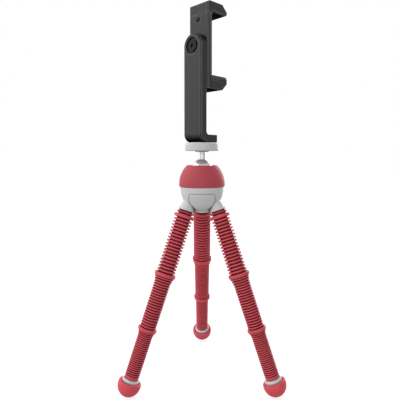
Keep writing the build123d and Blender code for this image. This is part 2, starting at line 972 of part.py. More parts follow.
def pivot_screw():
    """Screw through arm and clamp; its round head lies in the cover's recess."""
    seat = -arm_back + pivot_recess_depth
    end = -clamp_back + clamp_thickness - clamp_cover_thickness
    head = pivot_hole(pivot_head_radius, seat - pivot_head_height, seat)
    shank = pivot_hole(pivot_shank_radius, seat, end)
    with BuildPart() as socket:
        with BuildSketch(Plane.XZ.offset(-(seat - pivot_head_height))):
            with Locations((0, arm_pivot_height)):
                RegularPolygon(pivot_socket_radius, 6)
        extrude(amount=-pivot_socket_depth)
    return head + shank - socket.part


def pivot_washer():
    """Friction washer between arm and clamp."""
    ring = pivot_hole(pivot_washer_radius, -arm_front, -clamp_back)
    return ring - pivot_hole(pivot_shank_radius, -arm_front - overrun, -clamp_back + overrun)


def pivot_nut():
    """Lock nut on the pivot screw, in a pocket of the clamp."""
    low = clamp_split - pivot_nut_thickness
    ring = pivot_hole(pivot_nut_radius, low, clamp_split)
    return ring - pivot_hole(pivot_shank_radius, low - overrun, clamp_split + overrun)


def arm():
    """Nodes of the arm."""
    screws = [on_mount(cover_screw(height)) for height in cover_screw_heights()]
    return {
        "arm_frame": [on_mount(arm_frame())],
        "arm_cover": [on_mount(arm_cover())],
        "thread_insert": [on_mount(thread_insert())],
        "cover_screws": screws,
        "pivot_screw": [on_mount(pivot_screw())],
        "pivot_washer": [on_mount(pivot_washer())],
        "pivot_nut": [on_mount(pivot_nut())],
    }


def side_form(points, width):
    """Side profile in (depth, height) points, extruded across the clamp."""
    with BuildPart() as body:
        with BuildSketch(Plane.YZ):
            with BuildLine():
                Polyline(*points, close=True)
            make_face()
        extrude(amount=width / 2, both=True)
    return body.part


def channel_rod(x):
    """Round channel for one guide rod and its spring, open at the top."""
    low = clamp_low + lower_jaw_height + channel_floor
    return Pos(x, channel_middle, 0) * rod(channel_radius, low, clamp_high - channel_stop)


def rod_hole(x):
    """Guide hole for a rod through the stop at the top of the clamp."""
    return Pos(x, channel_middle, 0) * rod(
        rod_radius + fit_clearance, clamp_high - channel_stop - overrun, clamp_high + overrun
    )


def lower_jaw_form():
    """Back half of the clamp, lower jaw and pad as one form, with the tip rounded."""
    body = side_form([
        (-clamp_back, clamp_low),
        (jaw_reach - jaw_chamfer_length, clamp_low),
        (jaw_reach, clamp_low + jaw_chamfer_height),
        (jaw_reach, lower_pad_top),
        (clamp_split, lower_pad_top),
        (clamp_split, clamp_high),
        (-clamp_back, clamp_high),
    ], clamp_width)
    back_edges = body.edges().filter_by(Axis.Z).sort_by(Axis.Y)[:2]
    body = chamfer(back_edges, clamp_edge)
    tip_edges = body.edges().filter_by(Axis.X).sort_by(Axis.Y)[-2:].sort_by(Axis.Z)
    body = fillet(tip_edges[:1], jaw_edge)
    tip_edges = body.edges().filter_by(Axis.X).sort_by(Axis.Y)[-2:].sort_by(Axis.Z)
    return fillet(tip_edges[-1:], jaw_tip_radius)


def lower_pad_room():
    """Where the lower pad lies, in front of the cover."""
    return block(
        -clamp_width, clamp_width, clamp_front, jaw_reach + overrun,
        lower_pad_top - pad_thickness, lower_pad_top + overrun,
    )


def clamp_body():
    """Back half of the clamp with the lower jaw."""
    body = lower_jaw_form() - lower_pad_room()
    for x in (-rod_offset, rod_offset):
        body = body - channel_rod(x) - rod_hole(x)
    body = body - pivot_hole(pivot_shank_radius + fit_clearance, -clamp_back - overrun, clamp_split)
    pocket = pivot_hole(
        pivot_nut_radius + face_clearance, clamp_split - pivot_nut_thickness - fit_clearance,
        clamp_split + overrun,
    )
    screw_height = clamp_high - clamp_screw_drop
    recess = depth_rod(
        clamp_screw_recess_radius, 0, screw_height, -clamp_back - overrun,
        -clamp_back + clamp_screw_recess_depth,
    )
    hole = depth_rod(clamp_screw_radius, 0, screw_height, -clamp_back, clamp_split + overrun)
    slit_low = lower_pad_top - slit_drop - slit_width / 2
    for x in (-clamp_width / 2, clamp_width / 2):
        slit = block(
            x - slit_depth, x + slit_depth, clamp_front + slit_start, clamp_front + slit_end,
            slit_low, slit_low + slit_width,
        )
        body = body - slit
    return body - pocket - recess - hole


def clamp_cover():
    """Front half of the clamp, the face that the phone's back rests on."""
    body = block(
        -clamp_width / 2, clamp_width / 2, clamp_split, clamp_front, lower_pad_top, clamp_high
    )
    edges = body.edges().filter_by(Axis.Z).sort_by(Axis.Y)[-2:]
    body = chamfer(edges, jaw_edge)
    for x in (-rod_offset, rod_offset):
        body = body - channel_rod(x) - rod_hole(x)
    screw_height = clamp_high - clamp_screw_drop
    tip = -clamp_back + clamp_screw_recess_depth + clamp_screw_length
    hole = depth_rod(clamp_screw_radius, 0, screw_height, clamp_split - overrun, tip)
    screw_end = pivot_hole(
        pivot_nut_radius + face_clearance, clamp_split - overrun, clamp_split + fit_clearance
    )
    return body - hole - screw_end


def lower_jaw_pad():
    """Rubber pad on the lower jaw."""
    return lower_jaw_form() & lower_pad_room()


def clamp_screw():
    """Small screw in a recess at the top of the clamp's back."""
    height = clamp_high - clamp_screw_drop
    seat = -clamp_back + clamp_screw_recess_depth
    tip = seat + clamp_screw_length
    head = depth_rod(clamp_screw_head_radius, 0, height, seat - clamp_screw_head_height, seat)
    shank = depth_rod(clamp_screw_radius, 0, height, seat, tip)
    slot = Pos(0, seat - clamp_screw_head_height, height) * Box(
        2 * clamp_screw_head_radius, screw_slot_depth * 2, screw_slot_width
    )
    return head + shank - slot


def jaw_spring(x):
    """Coil spring round a guide rod, drawn as its tube."""
    low = clamp_high + rod_grip - rod_length + rod_collar_height
    high = clamp_high - channel_stop
    tube = rod(spring_radius, low, high) - rod(spring_radius - spring_wire, low - overrun, high + overrun)
    return Pos(x, channel_middle, 0) * tube


def upper_jaw_form():
    """Upper jaw and pad as one form, with the back and the tip rounded."""
    low = clamp_high + jaw_seam
    body = side_form([
        (-clamp_back, low),
        (clamp_front, low),
        (clamp_front, upper_pad_bottom),
        (jaw_reach, upper_pad_bottom),
        (jaw_reach, jaw_top - jaw_chamfer_height),
        (jaw_reach - jaw_chamfer_length, jaw_top),
        (-clamp_back, jaw_top),
    ], clamp_width)
    back_edges = body.edges().filter_by(Axis.Z).sort_by(Axis.Y)[:2]
    body = chamfer(back_edges, clamp_edge)
    top_back = body.edges().filter_by(Axis.X).sort_by(Axis.Y)[:2].sort_by(Axis.Z)[-1:]
    body = fillet(top_back, jaw_back_radius)
    tip_edges = body.edges().filter_by(Axis.X).sort_by(Axis.Y)[-2:].sort_by(Axis.Z)
    return fillet(tip_edges[:1], jaw_tip_radius)


def upper_pad_room():
    """Where the upper pad lies."""
    return block(
        -clamp_width, clamp_width, clamp_front, jaw_reach + overrun,
        upper_pad_bottom - overrun, upper_pad_bottom + pad_thickness,
    )


def upper_jaw():
    """Upper jaw over the clamp."""
    body = upper_jaw_form() - upper_pad_room()
    low = clamp_high + jaw_seam
    for x in (-rod_offset, rod_offset):
        body = body - Pos(x, channel_middle, 0) * rod(rod_radius, low - overrun, clamp_high + rod_grip)
    return body


def upper_jaw_pad():
    """Rubber pad under the upper jaw."""
    return upper_jaw_form() & upper_pad_room()


def guide_rod(x):
    """Steel rod from the upper jaw, with a collar that traps the spring."""
    top = clamp_high + rod_grip
    low = top - rod_length
    shape = rod(rod_radius, low, top) + rod(rod_collar_radius, low, low + rod_collar_height)
    return Pos(x, channel_middle, 0) * shape


def clamp():
    """Nodes of the clamp and of its sliding jaw."""
    sides = (-rod_offset, rod_offset)
    return {
        "clamp_body": [on_mount(clamp_body())],
        "clamp_cover": [on_mount(clamp_cover())],
        "lower_jaw_pad": [on_mount(lower_jaw_pad())],
        "clamp_screw": [on_mount(clamp_screw())],
        "jaw_springs": [on_mount(jaw_spring(x)) for x in sides],
        "upper_jaw": [on_mount(upper_jaw())],
        "upper_jaw_pad": [on_mount(upper_jaw_pad())],
        "guide_rods": [on_mount(guide_rod(x)) for x in sides],
    }


def legs():
    """Nodes of the three legs."""
    pieces = leg_nodes()
    nodes = {}
    for name, direction in leg_directions.items():
        place = leg_place(direction)
        for piece, shape in pieces.items():
            nodes[f"{name}_{piece}"] = [place * shape]
    return nodes


def write(nodes):
    """Writes each node to its own file, a group of solids as one compound."""
    for name, shapes in nodes.items():
        solids = [solid for shape in shapes for solid in shape.solids()]
        shape = solids[0] if len(solids) == 1 else Compound(children=solids)
        export_step(shape, f"parts/{name}.step")


write({**housing(), **ball_head(), **arm(), **clamp(), **legs()})
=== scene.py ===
"""Looks of the flexible leg tripod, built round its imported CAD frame.

Every Blender object is in metres in the row frame: +Z up, floor at z = 0. The sizes in the
classes are millimetres, as in the part's source, and turn into metres where a mesh is made.
"""

import logging
import math
from dataclasses import dataclass, field, replace
from enum import Enum
from typing import Any

import bmesh
import bpy
from mathutils import Matrix, Vector


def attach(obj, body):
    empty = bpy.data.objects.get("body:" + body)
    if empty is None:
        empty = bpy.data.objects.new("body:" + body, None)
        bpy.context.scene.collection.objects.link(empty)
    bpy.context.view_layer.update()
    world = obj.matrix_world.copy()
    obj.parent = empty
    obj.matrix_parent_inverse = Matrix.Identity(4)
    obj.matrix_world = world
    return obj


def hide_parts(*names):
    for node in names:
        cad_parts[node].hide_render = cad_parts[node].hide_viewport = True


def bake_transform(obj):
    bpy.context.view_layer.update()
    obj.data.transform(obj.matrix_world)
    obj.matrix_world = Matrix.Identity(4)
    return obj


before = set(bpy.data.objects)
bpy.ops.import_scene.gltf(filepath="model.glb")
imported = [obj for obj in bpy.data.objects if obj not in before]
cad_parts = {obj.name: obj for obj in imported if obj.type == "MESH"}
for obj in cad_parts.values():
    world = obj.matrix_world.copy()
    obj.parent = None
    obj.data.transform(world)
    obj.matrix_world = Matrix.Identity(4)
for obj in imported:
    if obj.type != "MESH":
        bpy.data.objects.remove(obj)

log = logging.getLogger("tripod")
MM = 0.001
WELD = 0.004 * MM
CROWN = "crown"
TURN_STEPS = 44
BALL_STEPS = 72
HEAD_STEPS = 96
RIB_ROUND_STEPS = 2
ROUND_STEPS = 3
FINE_ROUND_STEPS = 4
RIB_SHARP_DEG = 65.0
HUB_SHARP_DEG = 45.0
STUD_SHARP_DEG = 35.0
COLOUR_DETAIL = 3.0
GLOSS_DETAIL = 4.0
GRAIN_DETAIL = 2.0
BEVEL_SAMPLES = 6
CREVICE_SAMPLES = 8
NOISE_SPAN = (0.3, 0.7)
OPEN_SPAN = (0.25, 0.85)
UNDERSIDE_SPAN = (-0.6, -0.1)
TOP_SPAN = (0.5, 0.1)
# Where the rounded normal turns far enough from the surface's to get the painted edge highlight.
HIGHLIGHT_SPAN = (0.94, 0.998)

Pair = tuple[float, float]
Profile = list[Pair]
Inputs = dict[str | int, Any]
BMesh = bmesh.types.BMesh
Mesh = bpy.types.Mesh
Node = bpy.types.Node
Piece = bpy.types.Object
Socket = bpy.types.NodeSocket
Tree = bpy.types.NodeTree


class Leg(Enum):
    """The three legs, by their direction about the column in degrees from +X."""

    LEFT = 210.0
    RIGHT = 330.0
    REAR = 90.0

    @property
    def key(self) -> str:
        """Name of the leg as the nodes and bodies have it."""
        return self.name.lower()


class Grain(Enum):
    """Surface textures: size of the grain and its depth, in millimetres."""

    POLISHED = (0.9, 0.0004)
    SATIN = (0.35, 0.003)
    MOULDED = (0.28, 0.007)
    RUBBER = (0.45, 0.009)
    TURNED = (0.16, 0.003)


# Node helpers

def wire(tree: Tree, node: Node, inputs: Inputs) -> Node:
    """Links or sets the inputs of a node.

    Args:
        tree: node tree of the node.
        node: node that takes them.
        inputs: socket or plain value of each input, by its name or number.

    Returns:
        The node.
    """
    for key, value in inputs.items():
        if isinstance(value, Socket):
            tree.links.new(value, node.inputs[key])
        else:
            node.inputs[key].default_value = value
    return node


def add_node(tree: Tree, kind: str, inputs: Inputs) -> Node:
    """Adds a node of a kind, with its inputs linked or set."""
    return wire(tree, tree.nodes.new(kind), inputs)


def calculated(tree: Tree, operation: str, a: Socket, b: Socket | float) -> Socket:
    """Adds a math node of two values.

    Args:
        tree: node tree that gets the node.
        operation: Blender's name of the operation.
        a: first value.
        b: second value.

    Returns:
        Socket with the result.
    """
    node = add_node(tree, "ShaderNodeMath", {0: a, 1: b})
    node.operation = operation
    return node.outputs[0]


def scaled(tree: Tree, colour: Socket, factor: Socket) -> Socket:
    """Adds a node that multiplies a colour by a factor.

    Args:
        tree: node tree that gets the node.
        colour: colour to scale.
        factor: what each channel is multiplied by.

    Returns:
        Socket with the scaled colour.
    """
    node = tree.nodes.new("ShaderNodeVectorMath")
    node.operation = "SCALE"
    return wire(tree, node, {0: colour, "Scale": factor}).outputs["Vector"]


def mapped(tree: Tree, value: Socket, span: tuple[Any, Any], at_low: float = 0.0, at_high: float = 1.0,
           smooth: bool = False) -> Socket:
    """Adds a node that maps a value within a span, and holds it steady beyond.

    Args:
        tree: node tree that gets the node.
        value: value to map.
        span: the values that give at_low and at_high, each a socket or a number.
        at_low: result at the first value of the span.
        at_high: result at the second.
        smooth: whether the result eases in and out.

    Returns:
        Socket with the result.
    """
    node = add_node(tree, "ShaderNodeMapRange", {
        "Value": value, "From Min": span[0], "From Max": span[1], "To Min": at_low, "To Max": at_high})
    node.interpolation_type = "SMOOTHSTEP" if smooth else "LINEAR"
    return node.outputs["Result"]


def noise(tree: Tree, place: Socket, size: float, detail: float) -> Socket:
    """Adds a noise texture.

    Args:
        tree: node tree that gets the texture.
        place: coordinates, in metres.
        size: size of the features, in millimetres.
        detail: octaves of finer detail.

    Returns:
        Socket with the noise, 0 to 1.
    """
    return add_node(tree, "ShaderNodeTexNoise", {
        "Vector": place, "Scale": 1 / (size * MM), "Detail": detail}).outputs["Fac"]


def rounded_normal(tree: Tree, radius: float) -> Socket:
    """Adds the normal of a surface whose edges are rounded.

    Args:
        tree: node tree that gets the node.
        radius: radius of the round, in millimetres.

    Returns:
        Socket with the normal.
    """
    bevel = add_node(tree, "ShaderNodeBevel", {"Radius": radius * MM})
    bevel.samples = BEVEL_SAMPLES
    return bevel.outputs["Normal"]


def shown_white(tree: Tree) -> Socket:
    """Adds a switch between what is seen and what only lights the object.

    Args:
        tree: node tree that gets the nodes.

    Returns:
        Socket with 1 to the camera, in reflections and through glass, else 0.
    """
    path = tree.nodes.new("ShaderNodeLightPath").outputs
    seen = calculated(tree, "MAXIMUM", path["Is Camera Ray"], path["Is Glossy Ray"])
    return calculated(tree, "MAXIMUM", seen, path["Is Transmission Ray"])


# Finishes

@dataclass(frozen=True)
class Finish:
    """A surface finish, made as a node material on Object coordinates.

    Colours are linear and lengths are millimetres. Mottling is the share by which the colour
    drifts over the piece. Shades and glosses are factors: groove_shade is the painted shade
    between the ribs, crevice_shade what the painted shade takes away in a gap, and
    underside_gloss and top_gloss the gloss on faces that point down or up, lowered there as
    painted shade. The edge radius is the small round that moulding leaves, and the edge
    highlight is how much lighter a painted highlight makes an edge.
    """

    name: str
    slot: str
    colour: tuple[float, float, float]
    roughness: float
    grain: Grain
    metallic: float = 0.0
    specular: float = 0.5
    mottling: float = 0.06
    patch_size: float = 9.0
    roughness_spread: float = 0.06
    # Painted shade between the ribs, and how far up the rise from the groove it reaches.
    groove_shade: float = 1.0
    groove_reach: float = 0.42
    # Painted shade in gaps, and how far the gap test reaches.
    crevice_shade: float = 0.0
    crevice_reach: float = 2.6
    edge_radius: float = 0.0
    # Painted highlight on edges: how much lighter, and the width of the round that it follows.
    edge_highlight: float = 0.0
    highlight_width: float = 1.1
    # Gloss left on faces that point down or up, lowered there as painted shade.
    underside_gloss: float = 1.0
    top_gloss: float = 1.0

    def material(self) -> bpy.types.Material:
        """Builds the material, or gives the one that was built before.

        Returns:
            The node material of this finish.
        """
        known = bpy.data.materials.get(self.name)
        if known:
            return known
        made = bpy.data.materials.new(self.name)
        made.use_nodes = True
        made.diffuse_color = (*self.colour, 1.0)
        tree = made.node_tree
        place = tree.nodes.new("ShaderNodeTexCoord").outputs
        openness = self._openness(tree)
        wire(tree, tree.nodes["Principled BSDF"], {
            "Base Color": self._colour(tree, place["Object"], openness),
            "Metallic": self.metallic,
            "Roughness": self._roughness(tree, place["Object"]),
            "Specular IOR Level": self._gloss(tree, place["Normal"], openness),
            "Normal": self._normal(tree, place["Object"]),
        })
        return made

    def _openness(self, tree: Tree) -> Socket | None:
        """Adds what tells gaps from open surfaces, for the painted shade in gaps.

        Args:
            tree: node tree of the material.

        Returns:
            Socket with 1 in the open and less inside gaps, or None if the finish has no crevices.
        """
        if self.crevice_shade <= 0:
            return None
        around = add_node(tree, "ShaderNodeAmbientOcclusion", {"Distance": self.crevice_reach * MM})
        around.samples = CREVICE_SAMPLES
        return mapped(tree, around.outputs["AO"], OPEN_SPAN, 1 - self.crevice_shade)

    def _crowned(self, tree: Tree, in_groove: float) -> Socket:
        """Adds a factor that is lower between the ribs, for the painted shade there.

        Args:
            tree: node tree of the material.
            in_groove: the factor between the ribs.

        Returns:
            Socket with the factor, 1 on the crowns.
        """
        crown = tree.nodes.new("ShaderNodeAttribute")
        crown.attribute_name = CROWN
        return mapped(tree, crown.outputs["Fac"], (self.groove_reach, 1.0), in_groove)

    def _colour(self, tree: Tree, place: Socket, openness: Socket | None) -> Socket:
        """Adds the slow drift of the colour, painted shade in grooves and crevices, and a painted highlight
        on edges.

        Args:
            tree: node tree of the material.
            place: Object coordinates.
            openness: how open the surface is, or None.

        Returns:
            Socket with the colour.
        """
        patches = noise(tree, place, self.patch_size, COLOUR_DETAIL)
        ramp = add_node(tree, "ShaderNodeValToRGB", {"Fac": patches})
        drift = (-self.mottling, self.mottling)
        for stop, position, share in zip(ramp.color_ramp.elements, NOISE_SPAN, drift):
            stop.position = position
            stop.color = (*(min(1.0, channel * (1 + share)) for channel in self.colour), 1.0)
        colour = ramp.outputs["Color"]
        # Painted shade between the ribs.
        if self.groove_shade < 1:
            colour = scaled(tree, colour, self._crowned(tree, self.groove_shade))
        # Painted shade in gaps.
        if openness is not None:
            colour = scaled(tree, colour, openness)
        # Painted highlight along the edges.
        if self.edge_highlight > 0:
            colour = scaled(tree, colour, self._painted_highlight(tree))
        return colour

    def _painted_highlight(self, tree: Tree) -> Socket:
        """Adds a painted highlight: a factor that lightens the edges.

        Args:
            tree: node tree of the material.

        Returns:
            Socket with 1 on flat surfaces and more on edges.
        """
        surface = tree.nodes.new("ShaderNodeNewGeometry").outputs["Normal"]
        alike = tree.nodes.new("ShaderNodeVectorMath")
        alike.operation = "DOT_PRODUCT"
        wire(tree, alike, {0: rounded_normal(tree, self.highlight_width), 1: surface})
        return mapped(tree, alike.outputs["Value"], HIGHLIGHT_SPAN, 1 + self.edge_highlight)

    def _roughness(self, tree: Tree, place: Socket) -> Socket:
        """Adds the handled, uneven gloss.

        Args:
            tree: node tree of the material.
            place: Object coordinates.

        Returns:
            Socket with the roughness.
        """
        smudges = noise(tree, place, self.patch_size / 2, GLOSS_DETAIL)
        least, most = self.roughness - self.roughness_spread, self.roughness + self.roughness_spread
        return mapped(tree, smudges, NOISE_SPAN, least, most)

    def _gloss(self, tree: Tree, normal: Socket, openness: Socket | None) -> Socket | float:
        """Takes gloss away in grooves and crevices, and on faces that point up or down, as painted shade.

        Args:
            tree: node tree of the material.
            normal: the surface's direction in Object coordinates.
            openness: how open the surface is, or None.

        Returns:
            Socket with the level of the gloss, or the plain number.
        """
        factors = [] if openness is None else [openness]
        if self.groove_shade < 1:
            factors.append(self._crowned(tree, 0.0))
        height = add_node(tree, "ShaderNodeSeparateXYZ", {"Vector": normal}).outputs["Z"]
        # Painted shade: less gloss on faces that point down or up.
        if self.underside_gloss < 1:
            factors.append(mapped(tree, height, UNDERSIDE_SPAN, self.underside_gloss))
        if self.top_gloss < 1:
            factors.append(mapped(tree, height, TOP_SPAN, self.top_gloss))
        level: Socket | float = self.specular
        for factor in factors:
            level = calculated(tree, "MULTIPLY", factor, level)
        return level

    def _normal(self, tree: Tree, place: Socket) -> Socket:
        """Adds the fine grain, and the small round on the edges.

        Args:
            tree: node tree of the material.
            place: Object coordinates.

        Returns:
            Socket with the normal.
        """
        size, depth = self.grain.value
        inputs = {"Height": noise(tree, place, size, GRAIN_DETAIL), "Strength": 1.0, "Distance": depth * MM}
        if self.edge_radius > 0:
            inputs["Normal"] = rounded_normal(tree, self.edge_radius)
        return add_node(tree, "ShaderNodeBump", inputs).outputs["Normal"]


# Ribbed rubber, with painted shade between its ribs.
RED_RUBBER = Finish("red_ribbed_rubber", "red_rubber", (0.64, 0.078, 0.104), 0.5, Grain.RUBBER,
                    specular=0.32, mottling=0.05, groove_shade=0.31)
FOOT_RUBBER = Finish("red_foot_rubber", "foot_rubber", (0.74, 0.088, 0.116), 0.55, Grain.RUBBER,
                     specular=0.2, mottling=0.04)
RED_PLASTIC = Finish("red_collar_plastic", "red_plastic", (0.477, 0.070, 0.091), 0.62, Grain.SATIN,
                     specular=0.25, mottling=0.03)
# Grey plastic: painted shade in gaps, and less gloss on undersides as painted shade.
GREY_PLASTIC = Finish("light_grey_plastic", "grey_plastic", (0.66, 0.662, 0.66), 0.55, Grain.MOULDED,
                      specular=0.35, mottling=0.03, crevice_shade=0.8, edge_radius=0.35,
                      underside_gloss=0.0)
PANEL_PLASTIC = replace(GREY_PLASTIC, name="grey_panel_plastic", slot="panel_plastic",
                        colour=(0.665, 0.667, 0.665))
# Pale plastic, with less gloss on undersides as painted shade.
PALE_PLASTIC = Finish("pale_disc_plastic", "pale_plastic", (0.635, 0.635, 0.632), 0.5, Grain.SATIN,
                      specular=0.35, mottling=0.03, edge_radius=0.3, underside_gloss=0.0)
# Charcoal plastic: painted shade in gaps, a painted highlight along its edges, and less gloss on faces that
# point down or up as painted shade.
BLACK_PLASTIC = Finish("charcoal_plastic", "black_plastic", (0.0125, 0.0125, 0.0127), 0.37, Grain.MOULDED,
                       specular=0.245, mottling=0.08, crevice_shade=0.85, crevice_reach=3.5,
                       edge_radius=0.45, edge_highlight=9.0, underside_gloss=0.0, top_gloss=0.15)
# Pad rubber, with less gloss on undersides as painted shade.
PAD_RUBBER = Finish("black_pad_rubber", "pad_rubber", (0.012, 0.012, 0.012), 0.62, Grain.RUBBER,
                    mottling=0.1, edge_radius=0.3, underside_gloss=0.0)
CHROME = Finish("polished_chrome", "chrome", (0.57, 0.567, 0.56), 0.14, Grain.POLISHED,
                metallic=0.6, mottling=0.02, roughness_spread=0.03)
STEEL = Finish("plated_steel", "steel", (0.24, 0.24, 0.236), 0.3, Grain.TURNED, metallic=1.0,
               mottling=0.05)
# Blackened steel, with painted shade in gaps.
DARK_STEEL = Finish("blackened_steel", "dark_steel", (0.006, 0.006, 0.0063), 0.3, Grain.TURNED,
                    specular=0.1, mottling=0.08, crevice_shade=0.8, crevice_reach=3.0,
                    edge_radius=0.12)
WIRE = Finish("soft_drawn_wire", "wire", (0.6, 0.6, 0.6), 0.35, Grain.TURNED, metallic=1.0)
NYLON = Finish("dark_nylon", "nylon", (0.16, 0.025, 0.032), 0.5, Grain.SATIN)
BRASS = Finish("turned_brass", "brass", (0.62, 0.46, 0.2), 0.3, Grain.TURNED, metallic=1.0)


# Mesh helpers

def as_mesh(bm: BMesh, name: str) -> Mesh:
    """Turns a working mesh into a plain one.

    Args:
        bm: working mesh; it is freed.
        name: name of the plain mesh.

    Returns:
        The plain mesh.
    """
    mesh = bpy.data.meshes.new(name)
    bm.to_mesh(mesh)
    bm.free()
    return mesh


def linked(name: str, data: bpy.types.ID) -> Piece:
    """Makes an object and links it to the scene.

    Args:
        name: name of the object.
        data: its mesh, lamp or camera data.

    Returns:
        The object.
    """
    made = bpy.data.objects.new(name, data)
    bpy.context.scene.collection.objects.link(made)
    return made


def add_turned(bm: BMesh, profile: Profile, steps: int) -> None:
    """Adds the surface that a profile sweeps about Z.

    Args:
        bm: mesh that gets the surface.
        profile: (radius, height) points in millimetres; a radius of 0 is a pole.
        steps: how many steps make a full turn.
    """
    rings = []
    for radius, height in profile:
        angles = [2 * math.pi * i / steps for i in range(steps if radius > 0 else 1)]
        rings.append([bm.verts.new((radius * MM * math.cos(a), radius * MM * math.sin(a), height * MM))
                      for a in angles])
    for low, high in zip(rings, rings[1:]):
        for i in range(steps):
            j = (i + 1) % steps
            around = (low[i % len(low)], low[j % len(low)], high[j % len(high)], high[i % len(high)])
            distinct = tuple(dict.fromkeys(around))
            if len(distinct) > 2:
                bm.faces.new(distinct)


def arc(centre: Pair, radii: Pair, start: float, end: float, steps: int) -> Profile:
    """Points on an arc of a circle or an ellipse.

    Args:
        centre: centre of the arc.
        radii: its radius along the first axis and along the second.
        start: first angle in degrees, from the first axis.
        end: last angle in degrees.
        steps: number of steps between the two.

    Returns:
        The points, both ends included.
    """
    angles = [math.radians(start + (end - start) * i / steps) for i in range(steps + 1)]
    return [(centre[0] + radii[0] * math.cos(a), centre[1] + radii[1] * math.sin(a)) for a in angles]


def rounded(profile: Profile, rounds: dict[int, float], steps: int = ROUND_STEPS) -> Profile:
    """Rounds some corners of a profile.

    Args:
        profile: corners in order.
        rounds: corner index and the length that its round takes from each side.
        steps: steps across a round.

    Returns:
        The profile with the rounds in place of those corners.
    """
    out: Profile = []
    for i, point in enumerate(profile):
        cut = rounds.get(i, 0.0)
        if cut <= 0 or i == 0 or i == len(profile) - 1:
            out.append(point)
            continue
        here = Vector(point)
        ends = []
        for other in (Vector(profile[i - 1]), Vector(profile[i + 1])):
            way = other - here
            ends.append(here + way.normalized() * min(cut, way.length / 2))
        for k in range(steps + 1):
            t = k / steps
            spot = ends[0] * (1 - t) ** 2 + here * (2 * t * (1 - t)) + ends[1] * t ** 2
            out.append((spot.x, spot.y))
    return out


def finish_mesh(bm: BMesh, name: str, finishes: list[Finish], sharp_deg: float = 50.0) -> Mesh:
    """Welds a closed mesh, points its faces outwards and shades it.

    Args:
        bm: mesh to finish; it is freed.
        name: name of the mesh.
        finishes: finishes of its material slots, in order.
        sharp_deg: edges that turn more than this stay sharp.

    Returns:
        The finished mesh.
    """
    bmesh.ops.remove_doubles(bm, verts=bm.verts, dist=WELD)
    bmesh.ops.recalc_face_normals(bm, faces=bm.faces)
    for face in bm.faces:
        face.smooth = True
    mesh = as_mesh(bm, name)
    for finish in finishes:
        mesh.materials.append(finish.material())
    mesh.set_sharp_from_angle(angle=math.radians(sharp_deg))
    return mesh


def place_piece(mesh: Mesh, name: str, matrix: Matrix) -> Piece:
    """Makes an object at the origin with its place in its mesh.

    Args:
        mesh: mesh in its own frame; it is copied.
        name: name of the piece.
        matrix: place of that frame in the row frame.

    Returns:
        The piece, linked to the scene.
    """
    placed = mesh.copy()
    placed.name = name
    placed.transform(matrix)
    piece = linked(name, placed)
    return piece


# Ribs, by Geometry Nodes

